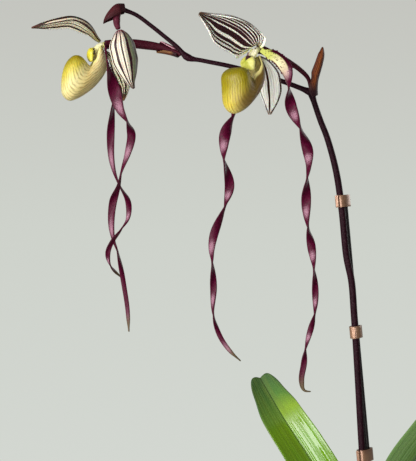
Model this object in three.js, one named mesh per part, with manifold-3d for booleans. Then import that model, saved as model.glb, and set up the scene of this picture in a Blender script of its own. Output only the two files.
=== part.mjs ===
// A potted slipper orchid: a fan of strap leaves, and one leaning flower stem, tied to a
// thin stake, that carries two open flowers and a hanging bud.
// Millimetres, +Z up. The origin is the centre of the pot's underside. The front, which
// the two flowers are seen from, is the -Y side, and the stem leans to -X.

import * as THREE from 'three';
import Module from 'manifold-3d';
import { mergeVertices } from 'three/addons/utils/BufferGeometryUtils.js';

const wasm = await Module();
wasm.setup();

// Clearance between pieces that touch on the real plant
const GAP = 0.3;

// Pot
const POT_HEIGHT = 105;
const POT_BASE_RADIUS = 42;
const POT_RIM_RADIUS = 61;
const POT_WALL = 4;
const POT_FLOOR = 5;
const RIM_BAND = 19;
const RIM_PROUD = 2.5;
const EDGE_ROUND = 1.5;
const POT_SIDES = 44;
const DRAIN_HOLES = 6;
const DRAIN_RADIUS = 2.5;
const DRAIN_RING = 24;

// Potting mix and its bark chips
const MIX_LEVEL = 93;
const MIX_DOME = 3;
const CHIP_COUNT = 52;
const CHIP_LENGTH = [10, 18];
const CHIP_WIDTH = [7, 12];
const CHIP_DEPTH = [4, 6];
const CHIP_FIELD = 41;
const CHIP_SEED = 7;

// Crown and roots
const CROWN_TOP = 100;
const CROWN_BOTTOM = 84;
const CROWN_LONG = 15;
const CROWN_WIDE = 12;
const CROWN_SIDES = 20;
const ROOT_RADIUS = 2.2;
const ROOT_TURNS = [0.6, 2.2, 3.5, 5.1];

// Leaves: the fan is turned about the stem by FAN_TURN
const FAN_TURN = THREE.MathUtils.degToRad(25);
const LEAF_BLADE = 1;
const LEAF_HALF_WIDTH = 12.6;
const LEAF_START = CROWN_TOP + GAP;
const SHEATH_OVERLAP = 1;

// Stem, stake and clips
const STEM_RADIUS = 1.9;
const NECK_RADIUS = 1.6;
const RACHIS_RADIUS = 1.35;
const RACHIS_END_RADIUS = 1.1;
const STAKE_RADIUS = 1.3;
const CLIP_HEIGHT = 6.6;
const CLIP_WALL = 0.8;

// Flowers
const PETAL_BLADE = 0.8;
const SEPAL_BLADE = 0.8;
const LIP_BLADE = 0.9;
const BRACT_BLADE = 0.8;

const point = (x, y, z) => new THREE.Vector3(x, y, z);

const curve = (points) => new THREE.CatmullRomCurve3(points.map((p) => point(...p)));

// A value between stops [place, value], eased from each stop to the next.
function between(stops, place) {
  const next = stops.findIndex(([at]) => at >= place);
  if (next <= 0) {
    return next < 0 ? stops.at(-1)[1] : stops[0][1];
  }
  const [from, low] = stops[next - 1];
  const [to, high] = stops[next];
  return low + (high - low) * THREE.MathUtils.smoothstep(place, from, to);
}

// Repeatable random numbers in [0, 1)
function seeded(seed) {
  let state = seed;
  return () => {
    state = (state * 16807) % 2147483647;
    return state / 2147483647;
  };
}

function geometryOf(points, faces) {
  const geometry = new THREE.BufferGeometry();
  const places = points.flatMap((p) => p.toArray());
  geometry.setAttribute('position', new THREE.Float32BufferAttribute(places, 3));
  geometry.setIndex(faces.flat());
  geometry.computeVertexNormals();
  return geometry;
}

// Solids for joins and cuts
function toSolid(geometry) {
  const bare = new THREE.BufferGeometry();
  bare.setAttribute('position', geometry.getAttribute('position'));
  bare.setIndex(geometry.getIndex());
  const merged = mergeVertices(bare);
  const index = Array.from(merged.getIndex().array);
  const faces = [];
  for (let i = 0; i < index.length; i += 3) {
    const [a, b, c] = index.slice(i, i + 3);
    if (a !== b && b !== c && c !== a) {
      faces.push(a, b, c);
    }
  }
  return new wasm.Manifold(new wasm.Mesh({
    numProp: 3,
    vertProperties: new Float32Array(merged.getAttribute('position').array),
    triVerts: new Uint32Array(faces),
  }));
}

function toGeometry(solid) {
  const mesh = solid.getMesh();
  const geometry = new THREE.BufferGeometry();
  geometry.setAttribute('position', new THREE.BufferAttribute(mesh.vertProperties, 3));
  geometry.setIndex(new THREE.BufferAttribute(mesh.triVerts, 1));
  geometry.computeVertexNormals();
  return geometry;
}

// The largest body of a solid: sealed hollows are filled and loose scraps dropped.
function wholeBody(solid) {
  const bodies = solid.decompose();
  return bodies.reduce((best, body) => (body.volume() > best.volume() ? body : best));
}

// A closed body through rings of equal count, each counter-clockwise about the way on.
function loft(rings) {
  const count = rings[0].length;
  const last = rings.length - 1;
  const points = rings.flat();
  const faces = [];
  for (let i = 0; i < last; i += 1) {
    for (let j = 0; j < count; j += 1) {
      const a = i * count + j;
      const b = i * count + ((j + 1) % count);
      faces.push([a, b, b + count], [a, b + count, a + count]);
    }
  }
  [[0, rings[0]], [last, rings[last]]].forEach(([row, ring]) => {
    const middle = points.length;
    points.push(ring.reduce((sum, p) => sum.add(p), point(0, 0, 0)).divideScalar(count));
    for (let j = 0; j < count; j += 1) {
      const a = row * count + j;
      const b = row * count + ((j + 1) % count);
      faces.push(row === 0 ? [middle, b, a] : [middle, a, b]);
    }
  });
  return geometryOf(points, faces);
}

// A closed body along a path. radius(t, angle) gives the section.
function sweep(path, steps, sides, radius) {
  const frames = path.computeFrenetFrames(steps, false);
  const rings = [];
  for (let i = 0; i <= steps; i += 1) {
    const centre = path.getPointAt(i / steps);
    const ring = [];
    for (let j = 0; j < sides; j += 1) {
      const angle = (2 * Math.PI * j) / sides;
      const r = radius(i / steps, angle, centre);
      ring.push(centre.clone()
        .addScaledVector(frames.normals[i], r * Math.cos(angle))
        .addScaledVector(frames.binormals[i], r * Math.sin(angle)));
    }
    rings.push(ring);
  }
  return loft(rings);
}

// A closed blade of even thickness about a grid of points: rows along it, columns across.
// Both faces are split along the same diagonals.
function blade(grid, thickness) {
  const rows = grid.length;
  const columns = grid[0].length;
  const near = (i, limit) => THREE.MathUtils.clamp(i, 0, limit - 1);
  const at = (i, j) => grid[near(i, rows)][near(j, columns)];
  const points = [];
  const faces = [];
  for (let i = 0; i < rows; i += 1) {
    for (let j = 0; j < columns; j += 1) {
      const along = at(i + 1, j).clone().sub(at(i - 1, j));
      const across = at(i, j + 1).clone().sub(at(i, j - 1));
      const half = along.cross(across).setLength(thickness / 2);
      points.push(at(i, j).clone().add(half), at(i, j).clone().sub(half));
    }
  }
  const front = (i, j) => 2 * (i * columns + j);
  const close = (a, b) => faces.push([b, a, a + 1], [b, a + 1, b + 1]);
  for (let i = 0; i < rows - 1; i += 1) {
    for (let j = 0; j < columns - 1; j += 1) {
      const a = front(i, j);
      const b = front(i + 1, j);
      const c = front(i + 1, j + 1);
      const d = front(i, j + 1);
      faces.push([a, b, c], [a, c, d], [a + 1, c + 1, b + 1], [a + 1, d + 1, c + 1]);
    }
    close(front(i, 0), front(i + 1, 0));
    close(front(i + 1, columns - 1), front(i, columns - 1));
  }
  for (let j = 0; j < columns - 1; j += 1) {
    close(front(0, j + 1), front(0, j));
    close(front(rows - 1, j), front(rows - 1, j + 1));
  }
  return geometryOf(points, faces);
}

// Materials

const finish = (color, roughness, metalness = 0) => () => new THREE.MeshStandardMaterial({
  color,
  roughness,
  metalness,
});
const TERRACOTTA = finish(0xa9623f, 0.85);
const BARK = finish(0x5b3d29, 0.95);
const RHIZOME = finish(0x6d6a3a, 0.8);
const LEAF_GREEN = finish(0x5f8f2f, 0.35);
const STEM_MAROON = finish(0x3a141f, 0.55);
const STAKE_DARK = finish(0x1c1214, 0.45);
const CLIP_TAN = finish(0xb78a6c, 0.4);
const PETAL_MAROON = finish(0x5a1430, 0.5);
const SEPAL_STRIPED = finish(0xe8e2cf, 0.55);
const LIP_YELLOW = finish(0xcdbb4a, 0.45);
const COLUMN_YELLOW = finish(0xd5d05a, 0.45);
const BRACT_BROWN = finish(0x6e3520, 0.6);

function named(name, geometry, material) {
  const mesh = new THREE.Mesh(geometry, material());
  mesh.name = name;
  return mesh;
}

// Pot, mix and crown

// The pot's outer radius at a height, below its rim band
const potRadius = (z) => (
  THREE.MathUtils.lerp(POT_BASE_RADIUS, POT_RIM_RADIUS - RIM_PROUD, z / POT_HEIGHT)
);

function lathe(profile, sides) {
  const points = profile.map(([r, z]) => new THREE.Vector2(r, z));
  return new THREE.LatheGeometry(points, sides).rotateX(Math.PI / 2);
}

function pot() {
  const bandFoot = POT_HEIGHT - RIM_BAND;
  const wall = toSolid(lathe([
    [0, 0],
    [POT_BASE_RADIUS - EDGE_ROUND, 0],
    [potRadius(EDGE_ROUND), EDGE_ROUND],
    [potRadius(bandFoot), bandFoot],
    [potRadius(bandFoot) + RIM_PROUD, bandFoot + EDGE_ROUND],
    [POT_RIM_RADIUS, POT_HEIGHT - EDGE_ROUND],
    [POT_RIM_RADIUS - EDGE_ROUND, POT_HEIGHT],
    [potRadius(POT_HEIGHT) - POT_WALL + EDGE_ROUND, POT_HEIGHT],
    [potRadius(POT_HEIGHT) - POT_WALL, POT_HEIGHT - EDGE_ROUND],
    [potRadius(POT_FLOOR) - POT_WALL, POT_FLOOR],
    [0, POT_FLOOR],
  ], POT_SIDES));
  const holes = Array.from({ length: DRAIN_HOLES }, (_, k) => {
    const turn = (2 * Math.PI * k) / DRAIN_HOLES;
    const hole = new THREE.CylinderGeometry(DRAIN_RADIUS, DRAIN_RADIUS, 4 * POT_FLOOR, 12);
    hole.rotateX(Math.PI / 2);
    return toSolid(hole.translate(DRAIN_RING * Math.cos(turn), DRAIN_RING * Math.sin(turn), 0));
  });
  return toGeometry(holes.reduce((left, hole) => left.subtract(hole), wall));
}

// The crown with its roots; spare widens it, for the hole that it stands in.
function crownSolid(spare) {
  const rings = [[CROWN_BOTTOM, 0.7], [CROWN_BOTTOM + 5, 0.95], [CROWN_TOP - 3, 1], [CROWN_TOP, 0.9]];
  const body = loft(rings.map(([z, share], k) => {
    const lift = k === 0 ? -spare : k === rings.length - 1 ? 10 * spare : 0;
    return Array.from({ length: CROWN_SIDES }, (_, j) => {
      const angle = (2 * Math.PI * j) / CROWN_SIDES;
      const wide = (CROWN_WIDE * share + spare) * Math.cos(angle);
      const long = (CROWN_LONG * share + spare) * Math.sin(angle);
      return point(
        wide * Math.cos(FAN_TURN) - long * Math.sin(FAN_TURN),
        wide * Math.sin(FAN_TURN) + long * Math.cos(FAN_TURN),
        z + lift,
      );
    });
  }));
  const roots = ROOT_TURNS.map((turn, k) => {
    const reach = 25 + 3 * k;
    const out = ([r, z]) => [r * Math.cos(turn), r * Math.sin(turn), z];
    const route = [[6, 93], [13, 96.5], [reach - 6, 95.5], [reach, 90], [reach + 1, 84]];
    const path = curve(route.map(out));
    return toSolid(sweep(path, 8, 7, (t) => (ROOT_RADIUS + spare) * (1 - 0.2 * t)));
  });
  return roots.reduce((left, root) => left.add(root), toSolid(body));
}

// A bark chip: a box with uneven corners
function chip(random) {
  const ranges = [CHIP_LENGTH, CHIP_WIDTH, CHIP_DEPTH];
  const size = ranges.map(([low, high]) => THREE.MathUtils.lerp(low, high, random()));
  const box = new THREE.BoxGeometry(...size);
  box.deleteAttribute('normal');
  box.deleteAttribute('uv');
  const shape = mergeVertices(box);
  const corners = shape.getAttribute('position');
  for (let i = 0; i < corners.count; i += 1) {
    corners.setXYZ(
      i,
      corners.getX(i) * (0.7 + 0.3 * random()),
      corners.getY(i) * (0.65 + 0.35 * random()),
      corners.getZ(i) * (0.8 + 0.2 * random()),
    );
  }
  shape.rotateX(0.5 * (random() - 0.5));
  shape.rotateY(0.6 * (random() - 0.5));
  shape.rotateZ(2 * Math.PI * random());
  return shape;
}

function pottingMix() {
  const inside = (z) => potRadius(z) - POT_WALL - GAP;
  const floor = POT_FLOOR + GAP;
  const edge = MIX_LEVEL - MIX_DOME;
  let solid = toSolid(lathe([
    [0, floor],
    [inside(floor), floor],
    [inside(edge), edge],
    [inside(edge) * 0.6, MIX_LEVEL - MIX_DOME * 0.3],
    [0, MIX_LEVEL],
  ], POT_SIDES));
  const random = seeded(CHIP_SEED);
  const goldenTurn = Math.PI * (3 - Math.sqrt(5));
  for (let k = 0; k < CHIP_COUNT; k += 1) {
    const reach = CHIP_FIELD * Math.sqrt((k + 0.5) / CHIP_COUNT);
    const lie = MIX_LEVEL - MIX_DOME * (reach / CHIP_FIELD) ** 2 + random();
    const shape = chip(random);
    shape.translate(reach * Math.cos(k * goldenTurn), reach * Math.sin(k * goldenTurn), lie);
    solid = solid.add(toSolid(shape));
  }
  return toGeometry(wholeBody(solid.subtract(crownSolid(GAP)).subtract(toSolid(stake(GAP)))));
}

// Leaves

// Two ranks: keel and halfWidth size the sheath, which folds round the younger ones.
// The route runs along the midrib above the sheath, the sheath opens into the blade
// between two distances along it, and turn is the blade's last turn.
const LEAVES = [
  {
    name: 'leaf_left_1',
    opens: [36, 70],
    rank: 1,
    keel: 7,
    halfWidth: 4.4,
    turn: -8,
    route: [
      [-6.5, 10, 128],
      [-13.5, 16, 156],
      [-22.5, 22.5, 178],
      [-33.5, 29.5, 196.5],
      [-44.5, 36.5, 213],
      [-60, 45, 239],
    ],
  },
  {
    name: 'leaf_left_2',
    opens: [20, 48],
    rank: 1,
    keel: 10,
    halfWidth: 7.2,
    turn: 38,
    route: [[-8, 14, 121], [-22, 32, 144], [-50, 56, 160], [-84, 76, 164], [-118, 92, 152]],
  },
  {
    name: 'leaf_left_3',
    opens: [9, 34],
    rank: 1,
    keel: 13,
    halfWidth: 10,
    turn: 70,
    route: [[-12, 19, 116], [-34, 30, 134], [-72, 36, 143], [-108, 37, 134], [-134, 36, 113]],
  },
  {
    name: 'leaf_right_1',
    opens: [42, 82],
    rank: -1,
    keel: 5.5,
    halfWidth: 3,
    turn: 30,
    route: [
      [3.5, -9, 128],
      [7, -20, 162],
      [14, -32, 196],
      [26.5, -47, 219.5],
      [44, -60, 243],
      [72, -76, 262],
    ],
  },
  {
    name: 'leaf_right_2',
    opens: [26, 56],
    rank: -1,
    keel: 8.5,
    halfWidth: 5.8,
    turn: 50,
    route: [[8, -14, 122], [26, -34, 149], [58, -56, 168], [94, -70, 168], [126, -80, 151]],
  },
  {
    name: 'leaf_right_3',
    opens: [13, 40],
    rank: -1,
    keel: 11.5,
    halfWidth: 8.6,
    turn: 75,
    route: [[11, -17, 114], [36, -33, 134], [76, -42, 145], [112, -43, 135], [138, -42, 113]],
  },
];
const FOOT_RISE = 8;
const LEAF_TAPER = [[0, 1], [0.6, 1], [0.85, 0.91], [1, 0.66]];
const LEAF_LIFT = 5;
const TIP_PART = 0.8;
const TIP_LOBE = 26;
const TIP_NOTCH = 2.5;
const LEAF_ROWS = 16;
const LEAF_COLUMNS = 6;

function leaf({ rank, keel, halfWidth, opens, turn, route }) {
  const foot = rank * keel;
  const base = [-foot * Math.sin(FAN_TURN), foot * Math.cos(FAN_TURN)];
  const midrib = curve([[...base, LEAF_START], [...base, LEAF_START + FOOT_RISE], ...route]);
  const length = midrib.getLength();
  const grid = [];
  for (let i = 0; i <= LEAF_ROWS; i += 1) {
    const t = i / LEAF_ROWS;
    const along = midrib.getTangentAt(t);
    const open = THREE.MathUtils.smoothstep(t * length, ...opens);
    const turned = THREE.MathUtils.smoothstep(t, 0, 0.7);
    const bearing = THREE.MathUtils.lerp(FAN_TURN, THREE.MathUtils.degToRad(turn), turned);
    const side = point(Math.cos(bearing), Math.sin(bearing), 0);
    side.addScaledVector(along, -side.dot(along)).normalize();
    const inward = side.clone().cross(along).multiplyScalar(rank);
    const taper = between(LEAF_TAPER, t);
    const row = [];
    for (let j = 0; j <= LEAF_COLUMNS; j += 1) {
      const s = (2 * j) / LEAF_COLUMNS - 1;
      const bend = (s * Math.PI) / 2;
      const sheathSide = halfWidth * Math.sin(bend);
      const sheathLift = keel * (1 - Math.cos(bend)) + SHEATH_OVERLAP * Math.abs(s);
      const bladeSide = LEAF_HALF_WIDTH * taper * s;
      const bladeLift = LEAF_LIFT * taper * Math.abs(s) ** 1.3;
      const tip = THREE.MathUtils.smoothstep(t, TIP_PART, 1);
      const lobe = TIP_LOBE * Math.max(0, Math.abs(s) - 0.4) ** 2;
      const notch = TIP_NOTCH * Math.max(0, 1 - 2.5 * Math.abs(s)) ** 2;
      row.push(midrib.getPointAt(t)
        .addScaledVector(side, THREE.MathUtils.lerp(sheathSide, bladeSide, open))
        .addScaledVector(inward, THREE.MathUtils.lerp(sheathLift, bladeLift, open))
        .addScaledVector(along, -tip * (lobe + notch)));
    }
    grid.push(row);
  }
  return blade(grid, LEAF_BLADE);
}

// Flower stem, stake and clips

const UPPER_NODE = [-32.4, 8, 398];
const MIDDLE_NODE = [-100.5, 8, 417.5];
const END_NODE = [-136.4, 3, 443.2];
const SCAPE_ROUTE = [
  [0, 0, LEAF_START],
  [0, 1, 125],
  [-2, 6.5, 165],
  [-4.2, 10, 201.7],
  [-6.7, 10, 246.4],
  [-8.6, 10, 276.7],
  [-10, 10, 294.4],
  [-12.7, 10, 307.6],
  [-15.3, 10, 333.5],
  [-18.5, 9.5, 354.8],
  [-23.5, 8.5, 373.1],
  [-27.4, 8, 383],
  [-31.3, 8, 394.5],
];
const RACHIS_ROUTE = [
  [-34.6, 8, 399],
  [-49, 8, 404.5],
  [-74.2, 8, 411.9],
  [-92, 8, 415.6],
];
const RACHIS_END_ROUTE = [
  [-105.7, 7.9, 422.8],
  [-112.4, 7.2, 428.3],
  [-120.2, 6, 434.4],
  [-128.5, 4.3, 440.2],
];
const NODES = [[UPPER_NODE, 0.8], [MIDDLE_NODE, 0.9], [END_NODE, 0.4]];
const NODE_REACH = 3;
const STEM_GIRTH = [
  [0, STEM_RADIUS],
  [0.55, STEM_RADIUS],
  [0.7, NECK_RADIUS],
  [0.75, RACHIS_RADIUS],
  [1, RACHIS_END_RADIUS],
];

function flowerStem() {
  const toMiddle = [...SCAPE_ROUTE, UPPER_NODE, ...RACHIS_ROUTE];
  const path = curve([...toMiddle, MIDDLE_NODE, ...RACHIS_END_ROUTE, END_NODE]);
  return sweep(path, 66, 8, (t, angle, centre) => NODES.reduce((sum, [node, swell]) => (
    sum + swell * Math.exp(-((point(...node).distanceTo(centre) / NODE_REACH) ** 2))
  ), between(STEM_GIRTH, t)));
}

const STAKE_FOOT = [13.7, 13.8, 40];
const STAKE_TOP = [-13.4, 13.8, 341];
const STAKE_ROUND = 0.6;

function stake(spare = 0) {
  const foot = point(...STAKE_FOOT);
  const top = point(...STAKE_TOP);
  const way = top.clone().sub(foot).normalize();
  const side = way.clone().cross(point(0, 1, 0)).normalize();
  const radius = STAKE_RADIUS + spare;
  const lower = foot.clone().addScaledVector(way, -spare);
  const sections = [
    [lower, radius - STAKE_ROUND],
    [lower.clone().addScaledVector(way, STAKE_ROUND), radius],
    [top.clone().addScaledVector(way, -STAKE_ROUND), radius],
    [top, radius - STAKE_ROUND],
  ];
  return loft(sections.map(([centre, r]) => Array.from({ length: 10 }, (_, j) => (
    side.clone().applyAxisAngle(way, (2 * Math.PI * j) / 10).multiplyScalar(r).add(centre)
  ))));
}

// Each clip is an oval band round stem and stake, its ends pinched together in a tab.
const CLIPS = [
  { name: 'clip_1', height: 338.5 },
  { name: 'clip_2', height: 266.2 },
  { name: 'clip_3', height: 198.2 },
];
const CLIP_TAB = 1.5;
const CLIP_STEPS = 20;

function clip(height) {
  const stem = curve([...SCAPE_ROUTE, UPPER_NODE]);
  const held = onPath(stem, height);
  const rod = onPath(new THREE.LineCurve3(point(...STAKE_FOOT), point(...STAKE_TOP)), height);
  const centre = held.clone().add(rod).multiplyScalar(0.5);
  const apart = rod.clone().sub(held);
  const long = apart.length() / 2 + (STEM_RADIUS + STAKE_RADIUS) / 2 + 2 * GAP;
  const wide = STEM_RADIUS + 2 * GAP;
  const oval = (spare) => Array.from({ length: CLIP_STEPS }, (_, k) => {
    const angle = (2 * Math.PI * k) / CLIP_STEPS;
    const round = (value) => Math.sign(value) * Math.abs(value) ** 0.8;
    const x = (long + spare) * round(Math.cos(angle));
    return new THREE.Vector2(x, (wide + spare) * round(Math.sin(angle)));
  });
  const outline = oval(CLIP_WALL);
  outline[CLIP_STEPS / 2] = new THREE.Vector2(-long - CLIP_WALL - CLIP_TAB, 0);
  const band = new THREE.Shape(outline);
  band.holes.push(new THREE.Path(oval(0).reverse()));
  const straight = { depth: CLIP_HEIGHT, bevelEnabled: false, curveSegments: 1 };
  const geometry = new THREE.ExtrudeGeometry(band, straight);
  geometry.translate(0, 0, -CLIP_HEIGHT / 2);
  const up = point(...STAKE_TOP).sub(point(...STAKE_FOOT)).normalize();
  const across = apart.clone().addScaledVector(up, -apart.dot(up)).normalize();
  const turn = new THREE.Matrix4().makeBasis(across, up.clone().cross(across), up);
  return geometry.applyMatrix4(turn.setPosition(centre));
}

// Where a rising path passes a height
function onPath(path, height) {
  let low = 0;
  let high = 1;
  for (let k = 0; k < 40; k += 1) {
    const middle = (low + high) / 2;
    if (path.getPoint(middle).z < height) {
      low = middle;
    } else {
      high = middle;
    }
  }
  return path.getPoint(low);
}

// Flowers, each in a frame of its own: +X is the way it faces, +Z is up, and the
// origin is where its parts meet the ovary.

const LEFT_FLOWER = {
  centre: [-147.5, 16, 424.8],
  facing: 194,
  pouch: { drop: 0, spread: 1, tuck: 0, toe: 0 },
};
const RIGHT_FLOWER = {
  centre: [-63.1, -19, 417.4],
  facing: 223,
  pouch: { drop: 3.4, spread: 0.92, tuck: 1.6, toe: 1.5 },
};

const OVARY_END_RADIUS = 2.4;
const OVARY_NECK = [-3.5, 0, 1];
const OVARY_END = [-0.9, 0, 0.8];

function inPlant(flower, local) {
  const turn = THREE.MathUtils.degToRad(flower.facing);
  return point(...local).applyAxisAngle(point(0, 0, 1), turn).add(point(...flower.centre)).toArray();
}

// A sepal: a cupped blade along a midrib, given as [forward, up] points.
function sepal({ midrib, widths, cup, roll, rows = 12, columns = 6 }) {
  const path = curve(midrib.map(([forward, up]) => [forward, 0, up]));
  const grid = [];
  for (let i = 0; i <= rows; i += 1) {
    const t = i / rows;
    const along = path.getTangentAt(t);
    const side = point(0, 1, 0).applyAxisAngle(along, THREE.MathUtils.degToRad(roll * Math.min(1, 4 * t)));
    const hollow = along.clone().cross(side);
    const half = between(widths, t);
    const row = [];
    for (let j = 0; j <= columns; j += 1) {
      const s = (2 * j) / columns - 1;
      row.push(path.getPointAt(t)
        .addScaledVector(side, half * Math.sin(s * 1.3) / Math.sin(1.3))
        .addScaledVector(hollow, cup * (half / 10) * s ** 2));
    }
    grid.push(row);
  }
  return blade(grid, SEPAL_BLADE);
}

const LEFT_DORSAL = {
  midrib: [
    [1.2, 2.5],
    [3.3, 4.9],
    [5.9, 8.9],
    [9.3, 12.2],
    [13.6, 14.3],
    [18.6, 15.2],
    [27.5, 13.4],
    [33.5, 11.4],
    [39.7, 8.7],
  ],
  widths: [[0, 2], [0.12, 4.8], [0.28, 9.4], [0.42, 9.8], [0.6, 9.3], [0.8, 6.7], [0.93, 2.7], [1, 0.8]],
  cup: -4.1,
  roll: 4,
};
const RIGHT_DORSAL = {
  midrib: [
    [1.4, 2.6],
    [4.4, 4.6],
    [8.8, 7.3],
    [14.6, 10.1],
    [21.8, 12.2],
    [30, 14],
    [36.1, 14.8],
    [41.6, 15.7],
  ],
  widths: [[0, 4.6], [0.12, 8.6], [0.28, 9.6], [0.42, 10.1], [0.6, 9.4], [0.8, 5.2], [0.93, 2.2], [1, 0.8]],
  cup: -7.8,
  roll: 36,
};
const SYNSEPAL_WIDTHS = [[0, 2], [0.15, 3.8], [0.4, 7.3], [0.6, 7.6], [0.8, 5], [0.94, 2], [1, 0.8]];
const LEFT_SYNSEPAL = {
  midrib: [
    [-1.8, -2.8],
    [-5.9, -5.8],
    [-10.4, -11.2],
    [-13.5, -16.8],
    [-14.6, -21.2],
    [-13.6, -26],
    [-11.6, -30.3],
  ],
  widths: SYNSEPAL_WIDTHS,
  cup: 6,
  roll: -3,
};
const RIGHT_SYNSEPAL = {
  midrib: [[-1.2, -2.8], [-5.6, -5], [-9.6, -10.7], [-11.4, -19.2], [-11.3, -26.6], [-9.6, -33.2]],
  widths: SYNSEPAL_WIDTHS,
  cup: 2.1,
  roll: -4,
};

// The lip is a slipper. Ribs run from one rim round the keel to the other rim; the keel
// and the rim are [forward, up] lines from the base to the toe.
const LIP_KEEL = [
  [0.1, -3],
  [-1.3, -5.5],
  [-2.2, -8.6],
  [-1.7, -12.7],
  [0, -16.3],
  [2.5, -19.8],
  [6.2, -23.7],
  [10.3, -26.8],
  [14.6, -29.3],
  [18.9, -30.5],
  [22.2, -27.6],
  [22.8, -21.3],
  [21.9, -14.7],
  [20.4, -10.6],
  [18.6, -8],
  [16.4, -6.2],
];
const LIP_RIM = [
  [1, -2.6],
  [2.1, -4.9],
  [4, -7.3],
  [5.6, -9.4],
  [6.9, -12],
  [8.3, -11.6],
  [10.3, -9.4],
  [12.4, -7.3],
  [14.6, -6.5],
];
const LIP_WIDTHS = [
  [0, 2.4],
  [0.08, 4.5],
  [0.18, 7.2],
  [0.3, 8.4],
  [0.5, 9.1],
  [0.65, 9],
  [0.8, 8],
  [0.9, 6.6],
  [1, 5],
];
const LIP_OPENING = [[0, 2.2], [0.08, 4.3], [0.18, 6.6], [0.3, 6.2], [0.45, 4.4], [0.7, 4], [1, 4.4]];
const LIP_ROWS = 16;
const LIP_COLUMNS = 12;

// drop is how far the pouch hangs below the left flower's, spread its width against that
// one's, tuck how far its front draws back, and toe what its toe is wider.
function lip({ drop, spread, tuck, toe }) {
  const keel = curve(LIP_KEEL.map(([forward, up]) => [forward, 0, up]));
  const rim = curve(LIP_RIM.map(([forward, up]) => [forward, 0, up]));
  const grid = [];
  for (let i = 0; i <= LIP_ROWS; i += 1) {
    const t = i / LIP_ROWS;
    const back = tuck * between([[0.4, 0], [0.6, 1], [0.78, 0.8], [0.92, -0.7], [1, -0.5]], t);
    const hang = point(0, 0, -drop * between([[0, 0], [0.3, 1], [0.8, 1], [1, 1.25]], t));
    const bottom = keel.getPointAt(t).add(hang);
    bottom.x -= back;
    const top = rim.getPointAt(t).add(hang);
    const half = between(LIP_WIDTHS, t) + toe * between([[0.7, 0], [0.88, 1], [1, 0.1]], t);
    const reach = Math.PI - Math.asin(between(LIP_OPENING, t) / half);
    const row = [];
    for (let j = 0; j <= LIP_COLUMNS; j += 1) {
      const angle = reach * ((2 * j) / LIP_COLUMNS - 1);
      const share = (1 - Math.cos(angle)) / (1 - Math.cos(reach));
      row.push(bottom.clone().lerp(top, share).setY(spread * half * Math.sin(angle)));
    }
    grid.push(row);
  }
  return blade(grid, LIP_BLADE);
}

// Column and staminode: [forward, up, half width, half height] of each section
const COLUMN_SECTIONS = [
  [-0.5, 0.6, 1.8, 1.7],
  [1.2, -0.3, 2.2, 2.1],
  [2.8, -1.4, 2.5, 2.5],
  [4.1, -2.4, 2.7, 2.4],
  [5.2, -3.8, 3.6, 2.6],
  [6, -4.8, 4.9, 3.4],
  [7.2, -5.2, 5.2, 3.6],
  [8.2, -5.2, 4.2, 2.9],
  [8.9, -5.1, 2, 1.4],
];

const COLUMN_SIDES = 14;
const COLUMN_SHARE = 0.5;

// The column bends down by a share of the pouch's drop.
function column({ drop }) {
  return loft(COLUMN_SECTIONS.map(([forward, up, wide, high]) => {
    const bend = drop * COLUMN_SHARE * THREE.MathUtils.smoothstep(forward, 1, 5);
    return Array.from({ length: COLUMN_SIDES }, (_, j) => {
      const angle = (2 * Math.PI * j) / COLUMN_SIDES;
      return point(forward, wide * Math.cos(angle), up - bend + high * Math.sin(angle));
    });
  }));
}

function flower(side, { centre, facing, pouch }, dorsal, synsepal) {
  const bloom = new THREE.Group();
  bloom.position.set(...centre);
  bloom.rotation.z = THREE.MathUtils.degToRad(facing);
  bloom.add(
    named(`${side}_dorsal_sepal`, sepal(dorsal), SEPAL_STRIPED),
    named(`${side}_synsepal`, sepal(synsepal), SEPAL_STRIPED),
    named(`${side}_lip`, lip(pouch), LIP_YELLOW),
    named(`${side}_column`, column(pouch), COLUMN_YELLOW),
  );
  return bloom;
}

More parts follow.
